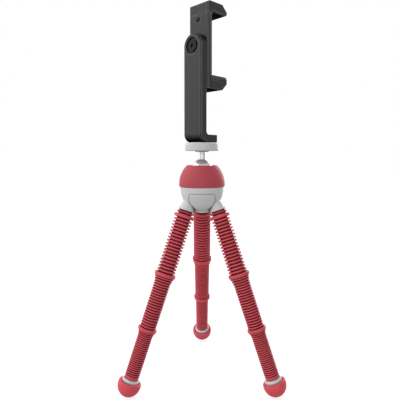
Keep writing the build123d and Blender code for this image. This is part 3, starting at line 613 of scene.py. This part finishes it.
class RibTree:
    """Geometry Nodes tree that repeats one rib down a stage, tapers it and flares its start."""

    SIZES = ("First Rib", "Pitch", "Stage Start", "Stage End", "Taper", "Flare", "Flare Reach",
             "Groove Radius", "Rib Radius", "Weld")

    def __init__(self) -> None:
        """Builds the tree once."""
        self.tree = bpy.data.node_groups.new("ribbed_stage", "GeometryNodeTree")
        face = self.tree.interface
        face.new_socket("Geometry", in_out="INPUT", socket_type="NodeSocketGeometry")
        face.new_socket("Ribs", in_out="INPUT", socket_type="NodeSocketInt")
        for name in self.SIZES:
            face.new_socket(name, in_out="INPUT", socket_type="NodeSocketFloat")
        face.new_socket("Material", in_out="INPUT", socket_type="NodeSocketMaterial")
        face.new_socket("Geometry", in_out="OUTPUT", socket_type="NodeSocketGeometry")
        self.keys = {item.name: item.identifier for item in face.items_tree
                     if item.in_out == "INPUT"}
        self._build()

    def _build(self) -> None:
        """Wires the tree: repeat, weld, taper, flare, realize, set material."""
        tree = self.tree
        source = tree.nodes.new("NodeGroupInput").outputs
        spots = {socket: add_node(tree, "ShaderNodeCombineXYZ", {"Z": source[size]}).outputs["Vector"]
                 for size, socket in (("First Rib", "Start Location"), ("Pitch", "Offset"))}
        line = add_node(tree, "GeometryNodeMeshLine", {"Count": source["Ribs"], **spots})
        ribs = add_node(tree, "GeometryNodeInstanceOnPoints", {
            "Points": line.outputs["Mesh"], "Instance": source["Geometry"]})
        real = add_node(tree, "GeometryNodeRealizeInstances", {"Geometry": ribs.outputs["Instances"]})
        weld = add_node(tree, "GeometryNodeMergeByDistance", {
            "Geometry": real.outputs["Geometry"], "Distance": source["Weld"]})
        shape = add_node(tree, "GeometryNodeSetPosition", {
            "Geometry": weld.outputs["Geometry"], "Position": self._tapered(source)})
        final = add_node(tree, "GeometryNodeRealizeInstances", {"Geometry": shape.outputs["Geometry"]})
        paint = add_node(tree, "GeometryNodeSetMaterial", {
            "Geometry": final.outputs["Geometry"], "Material": source["Material"]})
        add_node(tree, "NodeGroupOutput", {"Geometry": paint.outputs["Geometry"]})

    def _tapered(self, source: bpy.types.NodeOutputs) -> Socket:
        """Adds where each point goes: out with the taper, and crowns out with the flare.

        Args:
            source: the tree's inputs.

        Returns:
            Socket with the point's new position.
        """
        tree = self.tree
        position = tree.nodes.new("GeometryNodeInputPosition").outputs["Position"]
        spot = add_node(tree, "ShaderNodeSeparateXYZ", {"Vector": position}).outputs
        flat = add_node(tree, "ShaderNodeCombineXYZ", {"X": spot["X"], "Y": spot["Y"]})
        reach = tree.nodes.new("ShaderNodeVectorMath")
        reach.operation = "LENGTH"
        radius = wire(tree, reach, {0: flat.outputs["Vector"]}).outputs["Value"]
        start, flare = source["Stage Start"], source["Flare"]
        share = mapped(tree, spot["Z"], (start, source["Stage End"]))
        crown = mapped(tree, radius, (source["Groove Radius"], source["Rib Radius"]))
        flare_end = calculated(tree, "ADD", start, source["Flare Reach"])
        fade = mapped(tree, spot["Z"], (start, flare_end), smooth=True)
        left = calculated(tree, "SUBTRACT", flare, calculated(tree, "MULTIPLY", fade, flare))
        grown = calculated(tree, "ADD", radius, calculated(tree, "MULTIPLY", share, source["Taper"]))
        grown = calculated(tree, "ADD", grown, calculated(tree, "MULTIPLY", crown, left))
        factor = calculated(tree, "DIVIDE", grown, radius)
        return add_node(tree, "ShaderNodeCombineXYZ", {
            "X": calculated(tree, "MULTIPLY", spot["X"], factor),
            "Y": calculated(tree, "MULTIPLY", spot["Y"], factor),
            "Z": spot["Z"],
        }).outputs["Vector"]

    def ribs(self, rib: Mesh, sizes: dict[str, float], count: int, finish: Finish) -> Mesh:
        """Repeats a rib and gives the result as a plain mesh.

        Args:
            rib: one rib, centred on its own middle.
            sizes: the tree's lengths by name, in metres.
            count: number of ribs.
            finish: finish of the ribs.

        Returns:
            The ribs as one mesh, open at both ends.
        """
        holder = linked("rib_holder", rib)
        modifier = holder.modifiers.new("ribs", "NODES")
        modifier.node_group = self.tree
        modifier[self.keys["Ribs"]] = count
        modifier[self.keys["Material"]] = finish.material()
        for name, value in sizes.items():
            modifier[self.keys[name]] = value
        graph = bpy.context.evaluated_depsgraph_get()
        mesh = bpy.data.meshes.new_from_object(holder.evaluated_get(graph))
        holder.modifiers.remove(modifier)
        bpy.data.objects.remove(holder)
        return mesh


@dataclass(frozen=True)
class Stage:
    """One stage of ribs, with stations in millimetres down the leg."""

    first: float
    pitch: float
    count: int
    thickness: float
    radius: float
    end_radius: float
    groove_depth: float
    flare: float = 0.0
    flare_pitches: float = 2.35
    crown_round: float = 0.42
    root_round: float = 0.2

    @property
    def last(self) -> float:
        """Station of the last rib."""
        return self.first + (self.count - 1) * self.pitch

    @property
    def groove(self) -> float:
        """Radius of the first groove."""
        return self.radius - self.groove_depth

    def before(self, index: int) -> float:
        """Station in the groove before a rib."""
        return self.first + (index - 1 / 2) * self.pitch

    def groove_at(self, station: float) -> float:
        """Radius of the grooves at a station."""
        share = (station - self.first) / (self.last - self.first)
        return self.groove + (self.end_radius - self.radius) * min(1.0, max(0.0, share))

    def rib_mesh(self) -> Mesh:
        """Makes one rib with half a groove on each side.

        Returns:
            Its mesh, centred on its middle.
        """
        half = self.thickness / 2
        profile = rounded([
            (self.groove, -self.pitch / 2),
            (self.groove, -half - self.root_round),
            (self.radius, -half),
            (self.radius, half),
            (self.groove, half + self.root_round),
            (self.groove, self.pitch / 2),
        ], {1: self.root_round, 2: self.crown_round, 3: self.crown_round, 4: self.root_round},
            RIB_ROUND_STEPS)
        bm = bmesh.new()
        add_turned(bm, profile, TURN_STEPS)
        return as_mesh(bm, "rib")


def mark_crowns(bm: BMesh, stage: Stage, plain: Pair) -> None:
    """Stores on each vertex how far it stands out of the grooves, 0 to 1, for the painted shade between the
    ribs.

    Args:
        bm: rubber of a stage, in the leg's frame.
        stage: the stage, for its groove and rib radii.
        plain: station and radius past which the rubber is a plain band.
    """
    layer = bm.verts.layers.float.get(CROWN) or bm.verts.layers.float.new(CROWN)
    for vert in bm.verts:
        radius = math.hypot(vert.co.x, vert.co.y) / MM
        rise = (radius - stage.groove_at(vert.co.z / MM)) / stage.groove_depth
        if vert.co.z / MM > plain[0] and radius > plain[1]:
            rise = 1.0
        vert[layer] = min(1.0, max(0.0, rise))


@dataclass
class LegForm:
    """A ribbed leg and its foot, drawn down its own +Z from the middle of the root rib."""

    splay_deg: float = 20.7
    root_reach: float = 18.4
    seam_rise: float = 26.13
    wire_radius: float = 2.0
    bore_radius: float = 2.15
    shoulder_face: float = -5.4
    root_rib: Pair = (2.8, 9.1)
    thin_rib: Pair = (1.3, 7.75)
    thin_rib_seat: float = 1.3
    ring_gap: Pair = (2.11, 1.6)
    ring_thickness: Pair = (2.9, 2.4)
    ring_radius: Pair = (9.35, 8.15)
    ring_round: float = 0.6
    thin_rib_round: float = 0.4
    fillet: float = 0.2
    band_gap: float = 0.7
    band_length: float = 1.8
    band_radius: float = 5.5
    band_rise: float = 0.15
    band_chamfer: float = 0.3
    band_rounds: Pair = (0.2, 0.25)
    plain_margin: float = 0.05
    foot_radius: float = 9.75
    hub_rise: float = 4.7
    upper_neck_ribs: tuple[int, int, int] = (5, 1, 4)
    middle_neck_ribs: int = 6
    lower_neck_ribs: int = 8
    upper: Stage = Stage(first=3.7, pitch=2.86, count=17, thickness=1.5, radius=8.25, end_radius=8.25,
                         groove_depth=2.1)
    middle: Stage = Stage(first=55.72, pitch=2.205, count=20, thickness=1.1, radius=7.45,
                          end_radius=7.0, groove_depth=1.75, flare=1.0, crown_round=0.3)
    lower: Stage = Stage(first=102.615, pitch=1.665, count=23, thickness=0.85, radius=6.4,
                         end_radius=6.15, groove_depth=1.4, flare=0.75, flare_pitches=1.8,
                         crown_round=0.24, root_round=0.16)

    def ring(self, which: int) -> Pair:
        """Finds where a ring sits.

        Args:
            which: 0 for the ring after the upper stage, 1 for the one after the middle stage.

        Returns:
            Stations of its start and end.
        """
        stage = (self.upper, self.middle)[which]
        start = stage.last + self.ring_gap[which]
        return start, start + self.ring_thickness[which]

    @property
    def band(self) -> Pair:
        """Stations of the plain band at the end of the rubber."""
        start = self.lower.last + self.band_gap
        return start, start + self.band_length

    @property
    def plain(self) -> Pair:
        """Station and radius past which the rubber is the plain band."""
        return self.band[0] - self.plain_margin, self.band_radius - self.band_chamfer - self.plain_margin

    @property
    def length(self) -> float:
        """Station of the middle of the foot."""
        return self.band[1] + self.hub_rise

    def matrix(self, leg: Leg) -> Matrix:
        """Place of the leg's frame in the row frame.

        Args:
            leg: which leg.

        Returns:
            Matrix in metres.
        """
        splay = math.radians(self.splay_deg)
        circle = self.root_reach + self.length * math.sin(splay)
        sines = [math.sin(math.radians(other.value)) for other in Leg]
        column_y = -circle * (max(sines) + min(sines)) / 2
        root_height = self.foot_radius + self.length * math.cos(splay)
        angle = math.radians(leg.value)
        out = Vector((math.cos(angle), math.sin(angle), 0))
        up = Vector((0, 0, 1))
        origin = (Vector((0, column_y, root_height)) + out * self.root_reach) * MM
        down = out * math.sin(splay) - up * math.cos(splay)
        side = out * math.cos(splay) + up * math.sin(splay)
        matrix = Matrix((side, down.cross(side), down)).transposed().to_4x4()
        matrix.translation = origin
        return matrix

    def cuts(self) -> dict[str, Pair]:
        """Divides the rubber of a leg among its nodes.

        Returns:
            Stations of the start and end of each, by the last part of its name.
        """
        upper, first = self.upper, self.upper_neck_ribs
        marks = [upper.before(0), upper.before(first[0]), upper.before(first[0] + first[1]),
                 upper.before(sum(first)), self.ring(0)[1], self.middle.before(self.middle_neck_ribs),
                 self.ring(1)[1], self.lower.before(self.lower_neck_ribs), self.band[1]]
        names = ("neck_a", "link", "neck_b", "upper_sleeve", "neck_c", "middle_sleeve", "neck_d",
                 "lower_sleeve")
        return dict(zip(names, zip(marks, marks[1:])))


@dataclass
class RibbedLegs:
    """The rubber of the three legs with the wire inside it."""

    form: LegForm
    tree: RibTree
    bodies: dict[str, tuple[str, str]] = field(default_factory=lambda: {
        "neck_a": ("housing", "hip"), "link": ("hip", "hip"), "neck_b": ("hip", "upper"),
        "upper_sleeve": ("upper", "upper"), "neck_c": ("upper", "middle"),
        "middle_sleeve": ("middle", "middle"), "neck_d": ("middle", "lower"),
        "lower_sleeve": ("lower", "lower"),
    })

    def _sleeve(self, name: str, stage: Stage, skip: int, count: int, end_form: Profile) -> Mesh:
        """Rubber between two cuts: ribs, what follows them, the end faces and the bore.

        Args:
            name: last part of the node's name.
            stage: stage that its ribs belong to.
            skip: ribs of the stage that come before it.
            count: number of its ribs.
            end_form: corners of the outline after the last rib, up to the end face.

        Returns:
            A closed mesh in the leg's frame, with the wire inside.
        """
        start, end = self.form.cuts()[name]
        sizes = {
            "First Rib": stage.first + skip * stage.pitch, "Pitch": stage.pitch,
            "Stage Start": stage.first, "Stage End": stage.last,
            "Taper": stage.end_radius - stage.radius, "Flare": stage.flare,
            "Flare Reach": stage.flare_pitches * stage.pitch,
            "Groove Radius": stage.groove, "Rib Radius": stage.radius, "Weld": WELD / MM,
        }
        sizes = {key: value * MM for key, value in sizes.items()}
        ribs = self.tree.ribs(stage.rib_mesh(), sizes, count, RED_RUBBER)
        bm = bmesh.new()
        bm.from_mesh(ribs)
        for face in bm.faces:
            face.material_index = 0
        first_edge = stage.before(skip)
        last_edge = stage.before(skip + count)
        bore = self.form.bore_radius
        outline = [(stage.groove_at(last_edge), last_edge), *end_form]
        if not end_form and end - last_edge > WELD / MM:
            outline.append((stage.groove_at(end), end))
        outline += [(bore, end), (bore, start), (stage.groove_at(start), start)]
        if first_edge - start > WELD / MM:
            outline.append((stage.groove_at(first_edge), first_edge))
        add_turned(bm, outline, TURN_STEPS)
        mark_crowns(bm, stage, self.form.plain)
        self._add_wire(bm, start, end)
        return finish_mesh(bm, name, [RED_RUBBER, WIRE], RIB_SHARP_DEG)

    def _add_wire(self, bm: BMesh, start: float, end: float) -> None:
        """Adds a length of the wire inside the bore, in the second material slot.

        Args:
            bm: mesh that gets the wire.
            start: station where the length starts.
            end: station where it ends.
        """
        known = len(bm.faces)
        radius = self.form.wire_radius
        add_turned(bm, [(0, start), (radius, start), (radius, end), (0, end)], TURN_STEPS // 2)
        bm.faces.ensure_lookup_table()
        for face in bm.faces[known:]:
            face.material_index = 1

    def _ring_form(self, which: int, tail_start: float, groove: float) -> Profile:
        """Outline of a ring at the end of a sleeve, with its tail.

        Args:
            which: 0 for the first ring and 1 for the second.
            tail_start: station where the last rib's groove ends.
            groove: radius of that groove.

        Returns:
            Corners from the tail to the ring's end face.
        """
        start, end = self.form.ring(which)
        radius, edge, fillet = self.form.ring_radius[which], self.form.ring_round, self.form.fillet
        outline = [(groove, tail_start), (groove, start - fillet), (radius, start), (radius, end),
                   (groove, end)]
        return rounded(outline, {1: fillet, 2: edge, 3: edge}, FINE_ROUND_STEPS)[1:]

    def _band_form(self) -> Profile:
        """Outline of the plain band at the end of the lower stage.

        Returns:
            Corners from the last rib's groove to the band's end face.
        """
        form = self.form
        start, end = form.band
        groove, radius = form.lower.groove_at(start), form.band_radius
        outline = [(groove, form.lower.before(form.lower.count)), (groove, start - form.band_rise),
                   (radius, start), (radius, end), (radius - form.band_chamfer, end)]
        return rounded(outline, dict(enumerate(form.band_rounds, 2)), RIB_ROUND_STEPS)[1:]

    def sleeves(self) -> dict[str, Mesh]:
        """Makes the rubber of one leg.

        Returns:
            Its meshes, by the last part of the nodes' names.
        """
        upper, middle, lower = self.form.upper, self.form.middle, self.form.lower
        first, link, second = self.form.upper_neck_ribs
        done, knee, ankle = first + link + second, self.form.middle_neck_ribs, self.form.lower_neck_ribs
        ring_1 = self._ring_form(0, upper.before(upper.count), upper.groove)
        ring_2 = self._ring_form(1, middle.before(middle.count), middle.groove_at(middle.last))
        rows = {
            "neck_a": (upper, 0, first, []),
            "link": (upper, first, link, []),
            "neck_b": (upper, first + link, second, []),
            "upper_sleeve": (upper, done, upper.count - done, ring_1),
            "neck_c": (middle, 0, knee, []),
            "middle_sleeve": (middle, knee, middle.count - knee, ring_2),
            "neck_d": (lower, 0, ankle, []),
            "lower_sleeve": (lower, ankle, lower.count - ankle, self._band_form()),
        }
        return {name: self._sleeve(name, *row) for name, row in rows.items()}

    def root_collars(self) -> Piece:
        """Makes the thin and the thick rib at the root of each leg, against the shoulders.

        Returns:
            The piece with those of all three legs.
        """
        form = self.form
        start, end = form.shoulder_face, form.cuts()["neck_a"][0]
        groove, bore, fillet = form.upper.groove, form.bore_radius, form.fillet
        thin_start = start + form.thin_rib_seat
        thin_end = thin_start + form.thin_rib[0]
        thin_radius, half, radius = form.thin_rib[1], form.root_rib[0] / 2, form.root_rib[1]
        outline = [(bore, start), (groove, start), (groove, thin_start - fillet), (thin_radius, thin_start),
                   (thin_radius, thin_end), (groove, thin_end + fillet), (groove, -half - fillet),
                   (radius, -half), (radius, half), (groove, half + fillet), (groove, end), (bore, end),
                   (bore, start)]
        thin, thick = form.thin_rib_round, form.ring_round
        profile = rounded(outline, {3: thin, 4: thin, 7: thick, 8: thick}, FINE_ROUND_STEPS)
        bm = bmesh.new()
        for leg in Leg:
            part = bmesh.new()
            add_turned(part, profile, TURN_STEPS)
            mark_crowns(part, form.upper, form.plain)
            self._add_wire(part, start, end)
            part.transform(form.matrix(leg))
            held = as_mesh(part, "held")
            bm.from_mesh(held)
            bpy.data.meshes.remove(held)
        mesh = finish_mesh(bm, "leg_root_collars_dressed", [RED_RUBBER, WIRE], RIB_SHARP_DEG)
        piece = place_piece(mesh, "leg_root_collars_dressed", Matrix.Identity(4))
        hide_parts("leg_root_collars", "core_wires")
        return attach(piece, "housing")

    def build(self) -> list[Piece]:
        """Makes the rubber of all three legs.

        Returns:
            The pieces.
        """
        made = [self.root_collars()]
        meshes = self.sleeves()
        cuts = self.form.cuts()
        for leg in Leg:
            matrix = self.form.matrix(leg)
            for name, mesh in meshes.items():
                piece = place_piece(mesh, f"{leg.key}_{name}_ribs", matrix)
                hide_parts(f"{leg.key}_{name}")
                near, far = (part if part == "housing" else f"{leg.key}_{part}"
                             for part in self.bodies[name])
                if near == far:
                    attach(piece, near)
                else:
                    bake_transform(piece)
                made.append(piece)
        return made


@dataclass
class Feet:
    """Rubber balls with the plastic ring in their mouths."""

    form: LegForm
    rim_rise: float = 2.45
    lip_rise: float = 1.45
    lip_radius: float = 7.9
    hub_mouth: float = 5.65
    hub_dome: tuple[Pair, ...] = ((6.1, 4.9), (6.5, 4.85), (7.05, 4.3), (7.3, 3.5))
    hub_rounds: tuple[float, ...] = (0.2, 0.3, 0.4, 0.3)
    hub_radius: float = 7.3
    hub_edge: float = 3.2
    hub_fit: float = 0.1
    seat_rise: float = 0.4
    stub_radius: float = 5.2
    stub_drop: float = 3.6
    wire_end_depth: float = 4.0
    lip_round: float = 0.9
    mouth_round: float = 0.25
    bottom_steps: int = 26

    def _hub_mesh(self) -> Mesh:
        """Makes the ring in the ball's mouth, domed up to a groove round the end of the leg.

        Returns:
            Its mesh in the leg's frame.
        """
        form = self.form
        mid = form.length
        wire_end = form.band[1] + self.wire_end_depth
        above = [(self.hub_mouth, form.hub_rise), *self.hub_dome, (self.hub_radius, self.hub_edge)]
        dome = rounded([(r, mid - rise) for r, rise in above], dict(enumerate(self.hub_rounds, 1)))
        profile = [(form.wire_radius, wire_end), (form.wire_radius, form.band[1]), *dome,
                   (self.hub_radius, mid - self.seat_rise), (self.stub_radius, mid - self.seat_rise),
                   (self.stub_radius, mid + self.stub_drop), (0, mid + self.stub_drop)]
        bm = bmesh.new()
        add_turned(bm, [(0, wire_end), *profile], BALL_STEPS)
        return finish_mesh(bm, "foot_hub_dressed", [GREY_PLASTIC], HUB_SHARP_DEG)

    def _ball_mesh(self) -> Mesh:
        """Makes the ball with a rounded lip, open at its top for the ring.

        Returns:
            Its mesh in the leg's frame.
        """
        radius, mid = self.form.foot_radius, self.form.length
        rim = math.degrees(math.asin(self.rim_rise / radius))
        shell = [(abs(r), mid - h) for r, h in arc((0, 0), (radius, radius), rim, -90, self.bottom_steps)]
        shell[-1] = (0.0, mid + radius)
        mouth = self.hub_radius + self.hub_fit
        socket = self.stub_radius + self.hub_fit
        inner = [(0, mid + self.stub_drop), (socket, mid + self.stub_drop),
                 (socket, mid - self.seat_rise), (mouth, mid - self.seat_rise),
                 (mouth, mid - self.lip_rise), (self.lip_radius, mid - self.rim_rise)]
        profile = rounded(inner + shell, {4: self.mouth_round, 5: self.mouth_round, 6: self.lip_round},
                          FINE_ROUND_STEPS)
        bm = bmesh.new()
        add_turned(bm, profile, BALL_STEPS)
        return finish_mesh(bm, "foot_ball_dressed", [FOOT_RUBBER])

    def build(self) -> list[Piece]:
        """Makes the three feet.

        Returns:
            The pieces.
        """
        made = []
        hub, ball = self._hub_mesh(), self._ball_mesh()
        for leg in Leg:
            matrix = self.form.matrix(leg)
            for mesh, node, finish in ((hub, "foot_hub", GREY_PLASTIC), (ball, "foot_ball", FOOT_RUBBER)):
                piece = place_piece(mesh, f"{leg.key}_{node}_dressed", matrix)
                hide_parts(f"{leg.key}_{node}")
                made.append(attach(piece, f"{leg.key}_lower"))
        return made


@dataclass
class BallHead:
    """Lock collar, polished ball and platform disc, turned about the column."""

    column_y: float
    seam_height: float
    ball_above_seam: float = 15.5
    ball_radius: float = 9.75
    stem_radius: float = 3.35
    stem_rise: float = 15.4
    stem_shoulder: float = 0.4
    thread_radius: float = 3.175
    thread_rise: float = 29.7
    thread_pitch: float = 1.27
    thread_depth: float = 0.4
    thread_lead: float = 0.3
    thread_chamfer: float = 0.2
    ball_steps: int = 40
    dome_radius: float = 20.86
    dome_centre: float = 1.8
    dome_rise: float = 23.2
    collar_height: float = 19.25
    low_edge: float = 0.5
    spigot_bore: float = 17.62
    seat_bore: float = 12.36
    ceiling_drop: float = 5.7
    seat_top: float = 1.4
    funnel_radius: float = 10.35
    funnel_rise: float = 2.4
    mouth_edge: float = 0.5
    mouth_rounds: Pair = (0.25, 0.2)
    disc_rise: float = 16.8
    disc_radius: float = 15.25
    disc_thickness: float = 7.4
    disc_bevel: float = 1.0
    disc_rounds: tuple[float, float, float] = (0.55, 0.7, 0.7)
    hub_radius: float = 6.35
    hub_height: float = 1.0
    hub_round: float = 0.3
    bore_clearance: float = 0.07
    dome_steps: int = 30

    @property
    def ball_height(self) -> float:
        """Height of the ball's centre."""
        return self.seam_height + self.ball_above_seam

    def _piece(self, profile: Profile, node: str, body: str, finish: Finish, steps: int,
               sharp_deg: float = 40.0) -> Piece:
        """Turns a profile about the column into a piece that stands for a node.

        Args:
            profile: closed or pole-to-pole profile, in millimetres.
            node: CAD node that it replaces.
            body: body that it rides on.
            finish: its finish.
            steps: steps round a full turn.
            sharp_deg: edges that turn more than this stay sharp.

        Returns:
            The piece.
        """
        bm = bmesh.new()
        add_turned(bm, profile, steps)
        mesh = finish_mesh(bm, node, [finish], sharp_deg)
        place = Matrix.Translation((0, self.column_y * MM, 0))
        piece = place_piece(mesh, f"{node}_dressed", place)
        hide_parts(node)
        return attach(piece, body)

    def _collar_profile(self) -> Profile:
        """Outline of the lock collar, with soft edges at the seam and the mouth.

        Returns:
            Closed profile.
        """
        seam, top = self.seam_height, self.seam_height + self.collar_height
        middle = seam + self.dome_centre
        low, high = (math.degrees(math.asin((height - middle) / self.dome_rise))
                     for height in (seam + self.low_edge, top))
        dome = arc((0, middle), (self.dome_radius, self.dome_rise), low, high, self.dome_steps)
        mouth, ball = dome[-1][0] - self.mouth_edge, self.ball_height
        inner = [(mouth, top), (self.funnel_radius, ball + self.funnel_rise),
                 (self.funnel_radius, ball + self.seat_top), (self.seat_bore, ball + self.seat_top),
                 (self.seat_bore, ball - self.ceiling_drop), (self.spigot_bore, ball - self.ceiling_drop),
                 (self.spigot_bore, seam), (dome[0][0] - self.low_edge, seam), dome[0]]
        return rounded(dome + inner, dict(enumerate(self.mouth_rounds, self.dome_steps)))

    def _stud_profile(self) -> Profile:
        """Outline of the ball, its neck and the threaded rod with real ridges.

        Returns:
            Profile from pole to pole.
        """
        ball = self.ball_height
        meet = math.degrees(math.asin(self.stem_radius / self.ball_radius))
        sphere = arc((0, ball), (self.ball_radius, self.ball_radius), -90, 90 - meet, self.ball_steps)
        points = [(abs(r), z) for r, z in sphere]
        points[0] = (0.0, ball - self.ball_radius)
        shank = ball + self.stem_rise
        points += [(self.stem_radius, shank - self.stem_shoulder), (self.stem_radius, shank)]
        crest, root = self.thread_radius, self.thread_radius - self.thread_depth
        height, top = shank + self.thread_lead, ball + self.thread_rise
        points.append((root, shank))
        while height + self.thread_pitch < top:
            points += [(root, height), (crest, height + self.thread_pitch / 2)]
            height += self.thread_pitch
        points += [(root, height), (root - self.thread_chamfer, top), (0.0, top)]
        return points

    def _disc_profile(self) -> Profile:
        """Outline of the disc nut, with a bored hub below and a bevel above.

        Returns:
            Closed profile.
        """
        low = self.ball_height + self.disc_rise
        top = low + self.disc_thickness
        bore = self.thread_radius + self.bore_clearance
        hub_low = low - self.hub_height
        outline = [(bore, hub_low), (self.hub_radius, hub_low), (self.hub_radius, low),
                   (self.disc_radius, low), (self.disc_radius, top - self.disc_bevel),
                   (self.disc_radius - self.disc_bevel, top), (bore, top), (bore, hub_low)]
        return rounded(outline, {1: self.hub_round, **dict(enumerate(self.disc_rounds, 3))},
                       FINE_ROUND_STEPS)

    def build(self) -> list[Piece]:
        """Makes the turned pieces of the ball head.

        Returns:
            The pieces.
        """
        return [
            self._piece(self._collar_profile(), "lock_collar", "lock_collar", RED_PLASTIC, HEAD_STEPS),
            self._piece(self._stud_profile(), "ball_stud", "ball_stud", CHROME, BALL_STEPS,
                        STUD_SHARP_DEG),
            self._piece(self._disc_profile(), "platform_disc", "platform_disc", PALE_PLASTIC, HEAD_STEPS),
        ]


@dataclass
class CarriedNodes:
    """CAD nodes whose shape stays, with the finish that each gets."""

    finishes: tuple[tuple[Finish, tuple[str, ...]], ...] = (
        (GREY_PLASTIC, ("housing_shell",)),
        (PANEL_PLASTIC, ("housing_panels",)),
        (BLACK_PLASTIC, ("arm_frame", "arm_cover", "clamp_body", "clamp_cover", "upper_jaw")),
        (PAD_RUBBER, ("lower_jaw_pad", "upper_jaw_pad")),
        (NYLON, ("ball_race", "ball_seat", "pivot_washer")),
        (BRASS, ("leg_plugs", "thread_insert")),
        (DARK_STEEL, ("pivot_screw", "clamp_screw")),
        (STEEL, ("plug_screws", "spring_washer", "cover_screws", "pivot_nut", "jaw_springs", "guide_rods")),
    )

    def dress(self) -> None:
        """Gives every carried node its finish."""
        for finish, names in self.finishes:
            for name in names:
                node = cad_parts[name]
                node.data.materials.clear()
                node.data.materials.append(finish.material())


# Studio

@dataclass
class Lamp:
    """One broad, distant lamp that lights object and floor evenly."""

    name: str
    towards: tuple[float, float, float]
    strength: float
    spread_deg: float

    def build(self) -> None:
        """Adds the lamp to the scene."""
        light = bpy.data.lights.new(self.name, "SUN")
        light.energy = self.strength
        light.angle = math.radians(self.spread_deg)
        lamp = linked(self.name, light)
        lamp.location = self.towards
        lamp.rotation_mode = "QUATERNION"
        lamp.rotation_quaternion = (-Vector(self.towards)).to_track_quat("-Z", "Y")


@dataclass
class Viewpoint:
    """The photograph's camera: its place beside the column, and its frame in pixels."""

    column_y: float
    distance: float = 370.0
    height: float = 201.5
    pitch_deg: float = 1.705
    focal_px: float = 406.75
    centre_px: Pair = (202.0, 167.0)
    frame_px: float = 400.0
    sensor: float = 36.0

    def build(self) -> None:
        """Creates the camera and makes it the scene's."""
        data = bpy.data.cameras.new("photo_camera")
        data.sensor_width = self.sensor
        data.lens = self.focal_px * self.sensor / self.frame_px
        half = self.frame_px / 2
        data.shift_x = (half - self.centre_px[0]) / self.frame_px
        data.shift_y = (self.centre_px[1] - half) / self.frame_px
        camera = linked("photo_camera", data)
        camera.location = (0, (self.column_y - self.distance) * MM, self.height * MM)
        camera.rotation_euler = (math.radians(90 - self.pitch_deg), 0, 0)
        bpy.context.scene.camera = camera


@dataclass
class Studio:
    """Pale floor, white surroundings and soft lamps."""

    floor_half: float = 3.0
    floor_colour: tuple[float, float, float] = (0.4, 0.4, 0.4)
    floor_lift: float = 0.75
    ambient: float = 0.36
    lamps: tuple[Lamp, ...] = (
        Lamp("left_lamp", (-0.95, 0.12, 0.42), 2.15, 90.0),
        Lamp("rim_lamp", (0.6, 1.0, 0.35), 2.8, 50.0),
        Lamp("front_lamp", (-0.02, -1.0, 0.3), 0.85, 40.0),
    )

    def _floor(self) -> None:
        """Floor that shows white to the camera and keeps the object's shadow."""
        bm = bmesh.new()
        bmesh.ops.create_grid(bm, x_segments=8, y_segments=8, size=self.floor_half)
        mesh = as_mesh(bm, "studio_floor")
        floor = linked("studio_floor", mesh)
        material = bpy.data.materials.new("pale_floor")
        material.use_nodes = True
        tree = material.node_tree
        shader = wire(tree, tree.nodes["Principled BSDF"], {
            "Base Color": (*self.floor_colour, 1.0), "Roughness": 1.0, "Specular IOR Level": 0.0})
        lift = calculated(tree, "MULTIPLY", shown_white(tree), self.floor_lift)
        glow = add_node(tree, "ShaderNodeEmission", {"Strength": lift})
        both = add_node(tree, "ShaderNodeAddShader", {0: shader.outputs["BSDF"], 1: glow.outputs["Emission"]})
        wire(tree, tree.nodes["Material Output"], {"Surface": both.outputs["Shader"]})
        mesh.materials.append(material)

    def _surroundings(self) -> None:
        """World that is white to the camera and lights the object softly."""
        world = bpy.data.worlds.new("white_room")
        bpy.context.scene.world = world
        world.use_nodes = True
        tree = world.node_tree
        level = mapped(tree, shown_white(tree), (0.0, 1.0), self.ambient)
        wire(tree, tree.nodes["Background"], {"Color": (1.0, 1.0, 1.0, 1.0), "Strength": level})

    def build(self) -> None:
        """Builds the whole studio and sets the view transform."""
        self._floor()
        self._surroundings()
        for lamp in self.lamps:
            lamp.build()
        bpy.context.scene.view_settings.view_transform = "Standard"


def main() -> None:
    """Builds the classes in order and reports each piece."""
    logging.basicConfig(level=logging.INFO, format="%(name)s: %(message)s")
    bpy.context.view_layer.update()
    form = LegForm()
    origin = form.matrix(Leg.REAR).translation / MM
    column_y = origin.y - form.root_reach
    Viewpoint(column_y).build()
    Studio().build()
    pieces = RibbedLegs(form, RibTree()).build()
    pieces += Feet(form).build()
    pieces += BallHead(column_y, origin.z + form.seam_rise).build()
    CarriedNodes().dress()
    for piece in pieces:
        log.info("%s: %d faces", piece.name, len(piece.data.polygons))


if __name__ == "__main__":
    main()
